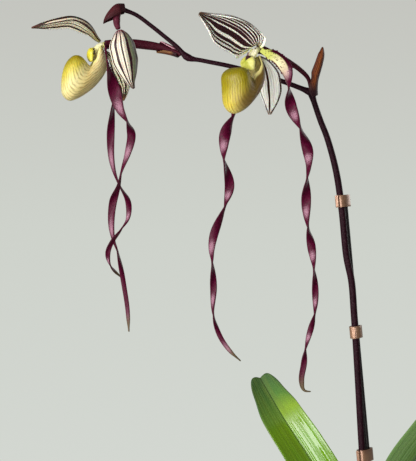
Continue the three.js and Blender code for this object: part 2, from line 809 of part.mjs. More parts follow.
// Petals: ribbons that arch out of the flower and wind as they hang. Each point of a route
// is [x, y, z, quarter turns, width]; at an even quarter the ribbon lies flat to the front.
const PETALS = [
  {
    name: 'left_petal_near',
    flower: LEFT_FLOWER,
    side: 1,
    route: [
      [-144.9, 8.3, 417.7, 0.95, 3.2],
      [-143.4, 7.2, 409.3, 1.3, 5],
      [-140.4, 6.5, 398.8, 2, 7.2],
      [-137.2, 6, 388.9, 2.5, 6.6],
      [-133.3, 6, 382, 3, 5.6],
      [-131.1, 6, 374.6, 3.9, 4.8],
      [-133.5, 8, 364.3, 4.5, 4.6],
      [-136.3, 9.5, 356.7, 4.85, 4.5],
      [-138.6, 12, 347.6, 5.25, 4.4],
      [-142, 17, 337.8, 6, 4.4],
      [-142.8, 16.5, 325.8, 6.35, 4.1],
      [-141.3, 15, 316.7, 6.75, 3.7],
      [-139.3, 14, 310.9, 7, 3.4],
      [-137.2, 11.5, 301.5, 7.6, 2.9],
      [-135.6, 10.5, 292.7, 8, 2.6],
      [-133.6, 10, 280, 8.2, 2.5],
      [-132.6, 10, 266.3, 8.4, 2],
    ],
  },
  {
    name: 'left_petal_far',
    flower: LEFT_FLOWER,
    side: -1,
    route: [
      [-145.9, 23, 417.3, 1, 3.4],
      [-144.6, 25, 407.4, 1, 3.6],
      [-142.3, 25, 397.3, 1, 3.8],
      [-142.8, 23, 388.7, 1.3, 4.2],
      [-143.6, 21.5, 375.1, 2, 4.4],
      [-142.6, 20, 360.5, 2.5, 4.1],
      [-139, 19, 348.6, 3, 3.6],
      [-133.5, 14.5, 338.6, 3.75, 3.3],
      [-133.4, 12, 329.1, 4.5, 3.1],
      [-137.1, 10.5, 322.7, 5, 3],
      [-142, 9, 315.9, 5.5, 2.9],
      [-144.3, 9.5, 309.7, 6, 2.8],
      [-143.1, 13.5, 302.6, 6.8, 2.3],
      [-137.2, 19, 295.5, 7.5, 1.6],
    ],
  },
  {
    name: 'right_petal_near',
    flower: RIGHT_FLOWER,
    side: 1,
    route: [
      [-56, -26, 414.7, 0.15, 6.2],
      [-52.5, -29.5, 412.1, 0, 7],
      [-49.7, -31.5, 408.7, 0.12, 6.9],
      [-47.9, -32.9, 404.6, 0.45, 6.8],
      [-47.1, -34.2, 396.7, 1, 6.4],
      [-46.2, -35.2, 386.8, 2, 6.1],
      [-41.5, -36, 376.1, 3, 6],
      [-37.7, -37, 364.5, 4, 5.7],
      [-37.2, -37.5, 357.1, 4.65, 5.5],
      [-37.8, -38, 350.3, 5, 5.3],
      [-38.5, -39, 338.2, 6, 5.1],
      [-37.6, -40, 324.4, 7, 4.7],
      [-36, -41, 314.5, 8, 4.4],
      [-34.8, -42, 302.7, 9, 4],
      [-34.1, -43, 290.7, 10, 3.4],
      [-34.4, -44, 279.7, 11, 3.2],
      [-36.5, -45, 272.1, 12, 3],
      [-39.3, -46, 262.1, 13, 2.9],
      [-40.2, -46.8, 254.2, 14, 3.1],
      [-41.5, -47.5, 246.1, 14.2, 2.8],
      [-40.3, -48.2, 240.9, 14.3, 2.3],
      [-36.8, -49, 240.3, 14.5, 1.4],
    ],
  },
  {
    name: 'right_petal_far',
    flower: RIGHT_FLOWER,
    side: -1,
    route: [
      [-69, -11.5, 412.2, 0.8, 5],
      [-72.2, -9, 403.1, 1.3, 6],
      [-73.3, -11, 392.2, 2.2, 6.2],
      [-75.8, -14, 382.4, 3, 6.2],
      [-80, -17, 373.3, 4, 6.2],
      [-80.9, -18.2, 365.5, 4.55, 6],
      [-80.7, -19, 360, 5, 5.7],
      [-77.7, -20, 345.8, 6, 5.2],
      [-80.1, -21, 334.8, 7, 4.8],
      [-85.8, -22.3, 320.6, 8, 4.6],
      [-87.3, -23, 312.5, 8.5, 4.3],
      [-86.9, -23.5, 305.5, 9, 4],
      [-86.2, -24.3, 292.5, 10, 3.6],
      [-86.2, -25.3, 277.6, 11, 2.9],
      [-83, -26, 267.1, 12, 2.5],
      [-77.6, -27, 259.1, 12.5, 2.4],
      [-71.9, -28, 253.8, 13, 2.1],
    ],
  },
];
const PETAL_ROOT = [0, 2.9, 0.6];
const PETAL_SHOULDER = [-0.3, 5.2, -1.2];
const PETAL_ROOT_WIDTH = 3;
const PETAL_STEP = 3.4;

function petal({ flower: home, side: hand, route }) {
  const toFront = home.facing / 90 - 3;
  const roots = [PETAL_ROOT, PETAL_SHOULDER].map(([x, y, z]) => (
    [...inPlant(home, [x, hand * y, z]), -toFront, PETAL_ROOT_WIDTH]
  ));
  const stations = [...roots, ...route];
  const path = curve(stations.map((station) => station.slice(0, 3)));
  const facing = inPlant({ ...home, centre: [0, 0, 0] }, [1, 0, 0]);
  const rows = Math.round(path.getLength() / PETAL_STEP);
  const grid = [];
  for (let i = 0; i <= rows; i += 1) {
    const t = i / rows;
    const place = path.getUtoTmapping(t) * (stations.length - 1);
    const from = Math.min(stations.length - 2, Math.floor(place));
    const blend = (k) => THREE.MathUtils.lerp(stations[from][k], stations[from + 1][k], place - from);
    const along = path.getTangentAt(t);
    const side = along.clone().cross(point(...facing)).normalize();
    side.applyAxisAngle(along, ((blend(3) + toFront) * Math.PI) / 2);
    grid.push([-0.5, 0, 0.5].map((share) => path.getPointAt(t).addScaledVector(side, share * blend(4))));
  }
  return blade(grid, PETAL_BLADE);
}

// Ovaries, bud and bracts

const OVARIES = [
  {
    name: 'left_ovary',
    flower: LEFT_FLOWER,
    route: [
      [-104, 10.4, 419.3],
      [-109, 13, 421.6],
      [-115.8, 15.5, 424],
      [-123.6, 17.3, 425.5],
      [-131.5, 18, 426.4],
      [-142.6, 17.5, 426],
    ],
    radii: [[0, 1.05], [0.12, 1.3], [0.3, 2.1], [0.5, 2.5], [0.9, 2.6], [1, OVARY_END_RADIUS]],
  },
  {
    name: 'right_ovary',
    flower: RIGHT_FLOWER,
    route: [
      [-32.8, 6.4, 400.4],
      [-34.2, 4.2, 405.2],
      [-39.4, -2.2, 409.6],
      [-45.5, -8.5, 412.6],
      [-52.8, -13.5, 415.1],
    ],
    radii: [[0, 1], [0.2, 1.2], [0.45, 1.4], [0.7, 2.2], [1, OVARY_END_RADIUS]],
  },
];

const ovaryPath = ({ flower: home, route }) => (
  curve([...route, inPlant(home, OVARY_NECK), inPlant(home, OVARY_END)])
);

const OVARY_RIDGE = 0.05;

function ovary(item) {
  const ridged = (angle) => 1 + OVARY_RIDGE * Math.cos(5 * angle);
  return sweep(ovaryPath(item), 12, 10, (t, angle) => between(item.radii, t) * ridged(angle));
}

const BUD_ROUTE = [
  [-137.2, -0.5, 431.2],
  [-136.2, -0.8, 425.7],
  [-135.7, -1, 421.4],
  [-134.7, -1, 417],
  [-133.7, -1, 412.7],
  [-132.3, -1, 407.3],
  [-131, -1, 402.6],
  [-129.3, -1, 399.3],
];
const BUD_RADII = [[0, 1.5], [0.1, 4.4], [0.3, 7], [0.5, 7], [0.7, 5.2], [0.88, 2.5], [1, 0.6]];

const BUD_RIDGE = 0.035;

function bud() {
  const ridged = (angle) => 1 + BUD_RIDGE * Math.cos(9 * angle);
  return sweep(curve(BUD_ROUTE), 14, 18, (t, angle) => between(BUD_RADII, t) * ridged(angle));
}

const BUD_STALK_ROUTE = [
  [-137.2, 2.3, 441.7],
  [-138.7, 0.9, 438.3],
  [-138.7, 0.1, 434.6],
  [-137.8, -0.3, 431.7],
];
const BUD_STALK_RADII = [[0, 0.9], [0.5, 2.05], [1, 1.3]];

function budStalk() {
  return sweep(curve(BUD_STALK_ROUTE), 8, 10, (t) => between(BUD_STALK_RADII, t));
}

const BRACT_ROWS = 8;
const BRACT_COLUMNS = 6;

// A bract: a blade rolled about a line beside its keel, open towards a direction. radius
// is the roll's, and wrap the angle that each half of the blade takes of it.
function bract({ keel, radius, wrap, open }) {
  const path = curve(keel);
  const grid = [];
  for (let i = 0; i <= BRACT_ROWS; i += 1) {
    const t = i / BRACT_ROWS;
    const along = path.getTangentAt(t);
    const inward = point(...open).addScaledVector(along, -point(...open).dot(along)).normalize();
    const side = inward.clone().cross(along);
    const round = between(radius, t);
    const row = [];
    for (let j = 0; j <= BRACT_COLUMNS; j += 1) {
      const angle = ((2 * j) / BRACT_COLUMNS - 1) * between(wrap, t);
      row.push(path.getPointAt(t)
        .addScaledVector(side, round * Math.sin(angle))
        .addScaledVector(inward, round * (1 - Math.cos(angle))));
    }
    grid.push(row);
  }
  return blade(grid, BRACT_BLADE);
}

// The bract that clasps an ovary's foot, between two shares of the ovary's length
const CLASP_SPAN = [0.03, 0.36];
const CLASP_OPEN = [0, -0.97, 0.1];
const CLASP_WRAP = [[0, 2.8], [0.4, 2.6], [0.8, 1.9], [1, 0.5]];

function clasp(name, item) {
  const path = ovaryPath(item);
  const place = (stop) => THREE.MathUtils.lerp(...CLASP_SPAN, stop);
  const radius = [0, 0.25, 0.5, 0.75, 1].map((stop) => [
    stop,
    between(item.radii, place(stop)) * (1 + OVARY_RIDGE) + BRACT_BLADE / 2 + 1.8 * GAP,
  ]);
  const keel = radius.map(([stop, round]) => {
    const along = path.getTangentAt(place(stop));
    const open = point(...CLASP_OPEN);
    open.addScaledVector(along, -open.dot(along)).normalize();
    return path.getPointAt(place(stop)).addScaledVector(open, -round).toArray();
  });
  return { name, keel, radius, wrap: CLASP_WRAP, open: CLASP_OPEN };
}

const BRACTS = [
  clasp('bract_left', OVARIES[0]),
  {
    name: 'bract_upright',
    keel: [
      [-28.9, 7.9, 396.6],
      [-29.1, 6.6, 401],
      [-28.7, 6.5, 405],
      [-27.9, 6.7, 408],
      [-26.4, 6.9, 413.3],
      [-25.4, 7, 418.8],
      [-26, 7.1, 423],
    ],
    radius: [[0, 3.2], [0.18, 3.8], [0.4, 3.4], [0.84, 2.2], [1, 1.4]],
    wrap: [[0, 1.5], [0.15, 1.85], [0.3, 1.6], [0.43, 1.9], [0.84, 2], [1, 0.5]],
    open: [-1, 0.09, 0],
  },
  {
    name: 'bract_end',
    keel: [
      [-134.9, 3, 445.8],
      [-139.3, 2.2, 445.4],
      [-143.1, 1.2, 441.6],
      [-145.3, 0.4, 437.6],
      [-145.9, -0.2, 434.8],
    ],
    radius: [[0, 2.9], [0.3, 3.7], [0.7, 3.2], [1, 2]],
    wrap: [[0, 2.2], [0.3, 2.3], [0.6, 2], [0.9, 1.2], [1, 0.3]],
    open: [0.7, 0, -0.7],
  },
];

// The plant

const group = new THREE.Group();
group.add(
  named('pot', pot(), TERRACOTTA),
  named('potting_mix', pottingMix(), BARK),
  named('crown', toGeometry(crownSolid(0)), RHIZOME),
  named('flower_stem', flowerStem(), STEM_MAROON),
  named('stake', stake(), STAKE_DARK),
  named('bud', bud(), SEPAL_STRIPED),
  named('bud_stalk', budStalk(), STEM_MAROON),
  flower('left', LEFT_FLOWER, LEFT_DORSAL, LEFT_SYNSEPAL),
  flower('right', RIGHT_FLOWER, RIGHT_DORSAL, RIGHT_SYNSEPAL),
);
LEAVES.forEach((item) => group.add(named(item.name, leaf(item), LEAF_GREEN)));
CLIPS.forEach(({ name, height }) => group.add(named(name, clip(height), CLIP_TAN)));
PETALS.forEach((item) => group.add(named(item.name, petal(item), PETAL_MAROON)));
OVARIES.forEach((item) => group.add(named(item.name, ovary(item), STEM_MAROON)));
BRACTS.forEach((item) => group.add(named(item.name, bract(item), BRACT_BROWN)));

export default group;
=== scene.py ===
"""A potted slipper orchid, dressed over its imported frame.

The plant stands in a clay pot of bark mix. Its flower stem leans to the left, tied to a
thin stake with three clips, and carries two open flowers and a hanging bud. Sizes are in
millimetres until a vertex is placed, and in metres from there on.
"""

import logging
import math
import random
from bisect import bisect_left, bisect_right
from contextlib import contextmanager
from dataclasses import dataclass
from enum import Enum
from functools import cache, reduce
from itertools import accumulate, pairwise
from typing import Callable, ClassVar, Iterator, Sequence

import bpy
from mathutils import Matrix, Quaternion, Vector


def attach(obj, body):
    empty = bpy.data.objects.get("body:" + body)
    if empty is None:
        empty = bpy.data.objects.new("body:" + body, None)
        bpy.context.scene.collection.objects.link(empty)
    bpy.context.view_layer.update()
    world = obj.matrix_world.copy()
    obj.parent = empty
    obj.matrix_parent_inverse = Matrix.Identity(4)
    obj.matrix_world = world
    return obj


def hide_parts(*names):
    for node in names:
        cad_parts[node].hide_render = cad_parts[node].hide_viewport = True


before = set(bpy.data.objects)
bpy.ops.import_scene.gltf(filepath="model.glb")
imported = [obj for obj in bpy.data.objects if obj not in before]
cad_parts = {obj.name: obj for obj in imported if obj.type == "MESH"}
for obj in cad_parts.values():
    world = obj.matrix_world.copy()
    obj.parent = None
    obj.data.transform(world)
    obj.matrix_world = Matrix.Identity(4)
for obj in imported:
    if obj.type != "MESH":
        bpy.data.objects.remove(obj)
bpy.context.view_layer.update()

LOG = logging.getLogger("orchid")

# One millimetre in Blender's metres, and the one body of the record
MM = 0.001
BODY = "root"

Thing = bpy.types.Object
Material = bpy.types.Material
Spot = float | Vector
Pairs = Sequence[tuple[float, float]]
Point = tuple[float, float, float]
Colours = Sequence[tuple[float, str]]
Place = Callable[[float, float], Vector]
Radius = Callable[[float, float], float]


# Shapes


def smooth(value: float, low: float, high: float) -> float:
    """Ease a value from 0 at low to 1 at high; low may be the greater."""
    share = min(1.0, max(0.0, (value - low) / (high - low)))
    return share * share * (3 - 2 * share)


def mix(low: float, high: float, share: float) -> float:
    """Return the value at a share of the way from low to high."""
    return low + (high - low) * share


def bump(value: float, centre: float, width: float) -> float:
    """Return a bell curve that is 1 at its centre."""
    return math.exp(-(((value - centre) / width) ** 2))


def curve(start: Spot, end: Spot, lead: Spot, tail: Spot, w: float) -> Spot:
    """Return a place on the cubic from start to end, which leaves by lead and arrives by tail."""
    rise = end - start
    return start + lead * w + (3 * rise - 2 * lead - tail) * w**2 + (-2 * rise + lead + tail) * w**3


def between(stops: Pairs, place: float) -> float:
    """Read a value between stops, smoothly and without overshoot.

    Args:
        stops: Pairs of place and value, in rising order.
        place: Where to read.

    Returns:
        The value there.
    """
    places, values = zip(*stops)
    if not places[0] < place < places[-1]:
        return values[0 if place <= places[0] else -1]
    rates = [(b[1] - a[1]) / (b[0] - a[0]) for a, b in pairwise(stops)]

    def slope(i: int) -> float:
        """Return the slope at a stop, level where the values turn."""
        before, after = rates[max(0, i - 1)], rates[min(i, len(rates) - 1)]
        return 2 * before * after / (before + after) if before * after > 0 else 0.0

    k = bisect_left(places, place) - 1
    span = places[k + 1] - places[k]
    return curve(values[k], values[k + 1], slope(k) * span, slope(k + 1) * span, (place - places[k]) / span)


class Route:
    """A smooth curve through points, measured by its length."""

    SAMPLES = 24

    def __init__(self, stations: Sequence[Sequence[float]]) -> None:
        """Lay the curve.

        Args:
            stations: What it runs through. The first three values of each are its place.
        """
        self.stations = stations
        self.spans = len(stations) - 1
        p = [Vector(s[:3]) for s in stations]
        self.points = [2 * p[0] - p[1], *p, 2 * p[-1] - p[-2]]
        places = [self.at(k / self.SAMPLES) for k in range(self.spans * self.SAMPLES + 1)]
        self.marks = list(accumulate(((b - a).length for a, b in pairwise(places)), initial=0.0))
        self.length = self.marks[-1]

    def at(self, station: float) -> Vector:
        """Find a place on the curve.

        Args:
            station: How many stations along it is.

        Returns:
            The place.
        """
        k = min(self.spans - 1, max(0, math.floor(station)))
        p0, p1, p2, p3 = p = self.points[k : k + 4]
        d0, d1, d2 = (max(1e-6, (b - a).length) ** 0.5 for a, b in pairwise(p))
        lead = ((p1 - p0) / d0 - (p2 - p0) / (d0 + d1) + (p2 - p1) / d1) * d1
        tail = ((p2 - p1) / d1 - (p3 - p1) / (d1 + d2) + (p3 - p2) / d2) * d1
        return curve(p1, p2, lead, tail, station - k)

    def station(self, share: float) -> float:
        """Find the station at a share of the length.

        Args:
            share: From 0 to 1.

        Returns:
            The station.
        """
        goal = min(1.0, max(0.0, share)) * self.length
        k = min(len(self.marks) - 2, bisect_right(self.marks, goal) - 1)
        return (k + (goal - self.marks[k]) / max(self.marks[k + 1] - self.marks[k], 1e-9)) / self.SAMPLES

    def point(self, share: float) -> Vector:
        """Return the place at a share of the length."""
        return self.at(self.station(share))

    def tangent(self, share: float) -> Vector:
        """Return the direction of travel at a share of the length."""
        here = self.station(share)
        return (self.at(min(self.spans, here + 1e-3)) - self.at(max(0, here - 1e-3))).normalized()

    def value(self, share: float, column: int) -> float:
        """Read another value of the stations, smoothly from one to the next.

        Args:
            share: Share of the length.
            column: Which value of a station to read.

        Returns:
            The value there.
        """
        here = self.station(share)
        k = min(self.spans - 1, math.floor(here))
        a, b, c, d = (self.stations[min(self.spans, max(0, k + i))][column] for i in (-1, 0, 1, 2))
        return curve(b, c, (c - a) / 2, (d - b) / 2, here - k)

    def frames(self, count: int) -> list[tuple[Vector, Vector, Vector]]:
        """Carry a cross-section along the curve without twist.

        Args:
            count: How many steps to take.

        Returns:
            Centre, normal and binormal at each of count + 1 places.
        """
        normal = Vector((1, 0, 0)) if abs(self.tangent(0).x) < 0.8 else Vector((0, 1, 0))
        found = []
        for k in range(count + 1):
            along = self.tangent(k / count)
            normal = (normal - along * normal.dot(along)).normalized()
            found.append((self.point(k / count), normal, along.cross(normal)))
        return found


def take(*things: Thing) -> None:
    """Select some objects alone.

    Args:
        things: The objects, the first of which is made active.
    """
    bpy.ops.object.select_all(action="DESELECT")
    for thing in reversed(things):
        thing.select_set(True)
        bpy.context.view_layer.objects.active = thing


def add(kind: str, name: str, **sizes: object) -> Thing:
    """Add a primitive, with its place and turn in its mesh.

    Args:
        kind: The primitive, such as cylinder.
        name: The object's name.
        sizes: Settings of the operator, in metres.

    Returns:
        The object.
    """
    take()
    getattr(bpy.ops.mesh, f"primitive_{kind}_add")(**sizes)
    obj = bpy.context.object
    obj.name = name
    bpy.ops.object.transform_apply(location=True, rotation=True, scale=True)
    return obj


@contextmanager
def edit(obj: Thing, top: bool = False) -> Iterator[None]:
    """Work on an object in edit mode.

    Args:
        obj: The object.
        top: Whether its top face alone is selected, rather than all of it.
    """
    take(obj)
    bpy.ops.object.mode_set(mode="EDIT")
    bpy.ops.mesh.select_mode(type="FACE")
    bpy.ops.mesh.select_all(action="DESELECT" if top else "SELECT")
    if top:
        bpy.ops.object.mode_set(mode="OBJECT")
        for face in obj.data.polygons:
            face.select = face.normal.z > 0.9
        bpy.ops.object.mode_set(mode="EDIT")
    yield
    bpy.ops.object.mode_set(mode="OBJECT")


def apply(obj: Thing, kind: str, **settings: object) -> Thing:
    """Add a modifier and apply it.

    Args:
        obj: The object to change.
        kind: The modifier's type.
        settings: Values of the modifier.

    Returns:
        The same object.
    """
    take(obj)
    modifier = obj.modifiers.new(kind.title(), kind)
    for name, value in settings.items():
        setattr(modifier, name, value)
    bpy.ops.object.modifier_apply(modifier=modifier.name)
    return obj


def dull(obj: Thing, width: float, segments: int, corner: float) -> Thing:
    """Round the sharp edges of an object.

    Args:
        obj: The object.
        width: How wide the rounding is, in millimetres.
        segments: Its steps.
        corner: The least angle in degrees of an edge that is rounded.

    Returns:
        The same object.
    """
    sizes = {"width": width * MM, "segments": segments, "angle_limit": math.radians(corner)}
    return apply(obj, "BEVEL", limit_method="ANGLE", **sizes)


def shade(obj: Thing, corner: float) -> Thing:
    """Shade an object smooth, except over edges of more than some degrees.

    Args:
        obj: The object.
        corner: The least angle of an edge that stays sharp.

    Returns:
        The same object.
    """
    take(obj)
    bpy.ops.object.shade_smooth_by_angle(angle=math.radians(corner))
    return obj


def soften(obj: Thing, levels: int = 1) -> Thing:
    """Subdivide an object smoothly and shade it smooth.

    Args:
        obj: The object.
        levels: How often it is subdivided.

    Returns:
        The same object.
    """
    if levels:
        apply(obj, "SUBSURF", levels=levels, render_levels=levels, boundary_smooth="PRESERVE_CORNERS")
    take(obj)
    bpy.ops.object.shade_smooth()
    return obj


def grid(name: str, rows: int, columns: int, place: Place) -> Thing:
    """Add a grid and move its vertices to their places.

    Args:
        name: The object's name.
        rows: Faces along it.
        columns: Faces across it.
        place: Gives a place in millimetres from -1..1 across and 0..1 along.

    Returns:
        The grid, whose UV map runs across and along.
    """
    obj = add("grid", name, x_subdivisions=columns, y_subdivisions=rows, size=2, calc_uvs=True)
    for vertex in obj.data.vertices:
        vertex.co = place(vertex.co.x, min(1.0, max(0.0, (vertex.co.y + 1) / 2))) * MM
    return obj


def thicken(obj: Thing, thickness: float, levels: int = 1) -> Thing:
    """Make a closed blade of a grid.

    Args:
        obj: The grid, which becomes the middle of the blade.
        thickness: The blade's thickness in millimetres.
        levels: Subdivisions at the end.

    Returns:
        The same object, whose inner side has the next material.
    """
    apply(obj, "SOLIDIFY", thickness=thickness * MM, offset=0, use_even_offset=False, material_offset=1)
    return soften(obj, levels)


def seal(obj: Thing, levels: int = 1) -> Thing:
    """Make a closed rod of a grid whose sides and ends meet.

    Args:
        obj: The grid.
        levels: Subdivisions at the end.

    Returns:
        The same object.
    """
    with edit(obj):
        bpy.ops.mesh.remove_doubles(threshold=2e-6)
        bpy.ops.mesh.normals_make_consistent(inside=False)
    return soften(obj, levels)


def tube(name: str, route: Route, rows: int, sides: int, radius: Radius, levels: int = 1) -> Thing:
    """Make a closed rod along a route, with rounded ends.

    Args:
        name: The object's name.
        route: Its centre line.
        rows: Faces along it.
        sides: Faces round it.
        radius: Gives the radius in millimetres at a share and an angle.
        levels: Subdivisions at the end.

    Returns:
        The rod, whose UV map runs round and along.
    """
    frames = route.frames(rows - 2)

    def place(s: float, t: float) -> Vector:
        """Find a place on a ring, or the pole at an end.

        Args:
            s: From -1 to 1 round.
            t: From 0 to 1 along.

        Returns:
            The place in millimetres.
        """
        row = round(t * rows)
        k = min(rows - 2, max(0, row - 1))
        centre, normal, binormal = frames[k]
        if row in (0, rows):
            return centre.copy()
        angle = math.pi * (s + 1)
        out = normal * math.cos(angle) + binormal * math.sin(angle)
        return centre + out * radius(k / (rows - 2), angle)

    return seal(grid(name, rows, sides, place), levels)


def join(name: str, parts: Sequence[Thing]) -> Thing:
    """Join objects into the first of them.

    Args:
        name: The joined object's name.
        parts: The objects, which are used up.

    Returns:
        The joined object.
    """
    take(*parts)
    bpy.ops.object.join()
    parts[0].name = name
    return parts[0]


def twin(pattern: Thing, place: Matrix) -> Thing:
    """Copy an object with a mesh of its own.

    Args:
        pattern: The object.
        place: Where its copy goes.

    Returns:
        The copy.
    """
    obj = pattern.copy()
    obj.data = pattern.data.copy()
    bpy.context.collection.objects.link(obj)
    obj.data.transform(place)
    return obj


def discard(*patterns: Thing) -> None:
    """Remove objects that were only patterns or tools."""
    for pattern in patterns:
        bpy.data.objects.remove(pattern, do_unlink=True)


# Finishes


def tint(code: str) -> tuple[float, ...]:
    """Turn a colour code such as "c0ffee" into linear light."""
    parts = [int(code[k : k + 2], 16) / 255 for k in (0, 2, 4)]
    return (*(p / 12.92 if p <= 0.04045 else ((p + 0.055) / 1.055) ** 2.4 for p in parts), 1.0)


class Tone:
    """A value or colour that a node gives, which sums and patterns are made from."""

    def __init__(self, nodes: "Nodes", socket: bpy.types.NodeSocket) -> None:
        """Keep the socket and the nodes that it belongs to."""
        self.nodes, self.socket = nodes, socket

    def __add__(self, other: "Source") -> "Tone":
        """Return a sum."""
        return self.nodes.math("ADD", self, other)

    def __sub__(self, other: "Source") -> "Tone":
        """Return a difference."""
        return self.nodes.math("SUBTRACT", self, other)

    def __mul__(self, other: "Source") -> "Tone":
        """Return a product."""
        return self.nodes.math("MULTIPLY", self, other)

    def __truediv__(self, other: "Source") -> "Tone":
        """Return a quotient."""
        return self.nodes.math("DIVIDE", self, other)

    def __abs__(self) -> "Tone":
        """Return the distance from 0."""
        return self.nodes.math("ABSOLUTE", self)

    def rise(self, low: float, high: float) -> "Tone":
        """Return 0 below low and 1 above high, eased between; or 1 and 0, if high is the lower."""
        ends = (low, high, 0.0, 1.0) if low <= high else (high, low, 1.0, 0.0)
        return self.nodes.add("ShaderNodeMapRange", (self, *ends), interpolation_type="SMOOTHSTEP")

    def lines(self, places: Pairs, soft: float, swell: "Source" = 1.0) -> "Tone":
        """Draw lines that each have a place and a width of their own.

        Args:
            places: Centre and half width of each line.
            soft: How far a line's edge fades.
            swell: What every width is multiplied by.

        Returns:
            1 on a line and 0 between lines.
        """
        found = [(abs(self - at) / swell).rise(half + soft, max(0.0, half - soft)) for at, half in places]
        return reduce(lambda a, b: self.nodes.math("MAXIMUM", a, b), found)

    def stripes(self, count: int, width: "Source", soft: float) -> "Tone":
        """Draw lines at even shares.

        Args:
            count: How many lines there are from 0 to 1.
            width: A line's share of its spacing.
            soft: How far a line's edge fades.

        Returns:
            1 on a line and 0 between lines.
        """
        away = abs(self.nodes.math("FRACT", self * count) - 0.5) * 2
        return (away - width).rise(soft, 0.0)


Source = Tone | float


class Nodes:
    """The nodes of a material or a sky, which are added in the order that they work."""

    def __init__(self, tree: bpy.types.NodeTree) -> None:
        """Keep the tree."""
        self.tree = tree

    def feed(self, socket: bpy.types.NodeSocket, value: Source | str | Sequence[float]) -> None:
        """Link or set a node's input.

        Args:
            socket: The input.
            value: What goes in: a Tone, a colour code or plain numbers.
        """
        if isinstance(value, Tone):
            self.tree.links.new(value.socket, socket)
        else:
            socket.default_value = tint(value) if isinstance(value, str) else value

    def add(
        self, kind: str, inputs: Sequence[object] | dict = (), output: int | str = 0, **settings: object
    ) -> Tone:
        """Add a node.

        Args:
            kind: The node's type.
            inputs: What goes into its inputs, in order, or by number or name.
            output: Which of its outputs is used.
            settings: Values of the node itself.

        Returns:
            What the node gives.
        """
        node = self.tree.nodes.new(kind)
        for name, value in settings.items():
            setattr(node, name, value)
        for key, value in (inputs if isinstance(inputs, dict) else dict(enumerate(inputs))).items():
            self.feed(node.inputs[key], value)
        return Tone(self, node.outputs[output])

    def math(self, kind: str, *values: Source) -> Tone:
        """Return the outcome of an operation."""
        return self.add("ShaderNodeMath", values, operation=kind)

    def place(self, kind: str) -> Tone:
        """Return a place: Object in the piece's own frame, UV in its map, Generated in the sky."""
        return self.add("ShaderNodeTexCoord", output=kind)

    def uv(self) -> tuple[Tone, Tone]:
        """Return the shares across and along a piece, from its own UV map."""
        across = self.add("ShaderNodeSeparateXYZ", [self.place("UV")])
        return across, Tone(self, across.socket.node.outputs[1])

    def stretch(self, place: Tone, *scale: float) -> Tone:
        """Return a place with its three measures scaled."""
        return self.add("ShaderNodeMapping", {"Vector": place, "Scale": scale})

    def noise(self, scale: float, detail: float = 3, place: Tone | None = None) -> Tone:
        """Return clouds, so many to a metre, or to a unit of the place that is given."""
        place = place or self.place("Object")
        sizes = {"Scale": scale, "Detail": detail, "Roughness": 0.55}
        return self.add("ShaderNodeTexNoise", {"Vector": place, **sizes})

    def streaks(self, scale: float, detail: float, across: float, along: float) -> Tone:
        """Return clouds that are stretched along a piece, by its UV map."""
        return self.noise(scale, detail, self.stretch(self.place("UV"), across, along, 1))

    def blend(self, share: Source, low: Tone | str, high: Tone | str) -> Tone:
        """Return a colour between two, at a share."""
        return self.add("ShaderNodeMix", {0: share, 6: low, 7: high}, 2, data_type="RGBA")

    def ramp(self, value: Tone, stops: Colours) -> Tone:
        """Read a colour from stops.

        Args:
            value: Where to read.
            stops: Place and colour code of each stop.

        Returns:
            The colour.
        """
        colour = self.add("ShaderNodeValToRGB", [value])
        elements = colour.socket.node.color_ramp.elements
        while len(elements) < len(stops):
            elements.new(0.5)
        for element, (place, code) in zip(elements, stops):
            element.position, element.color = place, tint(code)
        return colour


class Paint(Nodes):
    """One material."""

    def __init__(self, name: str, **constants: float) -> None:
        """Start a material.

        Args:
            name: The material's name.
            constants: Values of the shader's own sockets, with _ for spaces.
        """
        self.material = bpy.data.materials.new(name)
        self.material.use_nodes = True
        super().__init__(self.material.node_tree)
        self.shader = next(n for n in self.tree.nodes if n.type == "BSDF_PRINCIPLED")
        for key, value in constants.items():
            self.feed(self.shader.inputs[key.replace("_", " ").title().replace("Ior", "IOR")], value)

    def coat(self, colour: Tone, rough: Source, height: Tone | None = None, depth: float = 0.1) -> Material:
        """Lead colour, roughness and relief to the shader.

        Args:
            colour: The base colour.
            rough: The roughness.
            height: Relief from 0 to 1, or nothing.
            depth: What a relief of 1 is worth, in millimetres.

        Returns:
            The finished material.
        """
        self.feed(self.shader.inputs["Base Color"], colour)
        self.feed(self.shader.inputs["Roughness"], rough)
        if height:
            relief = self.add("ShaderNodeBump", {"Height": height, "Distance": depth * MM, "Strength": 1.0})
            self.feed(self.shader.inputs["Normal"], relief)
        return self.material


@dataclass(frozen=True)
class Finish:
    """What every finish has: a name, and the slot of the record that it belongs to."""

    name: str
    slot: ClassVar[str]

    def make(self) -> Material:
        """Return the material."""
        raise NotImplementedError


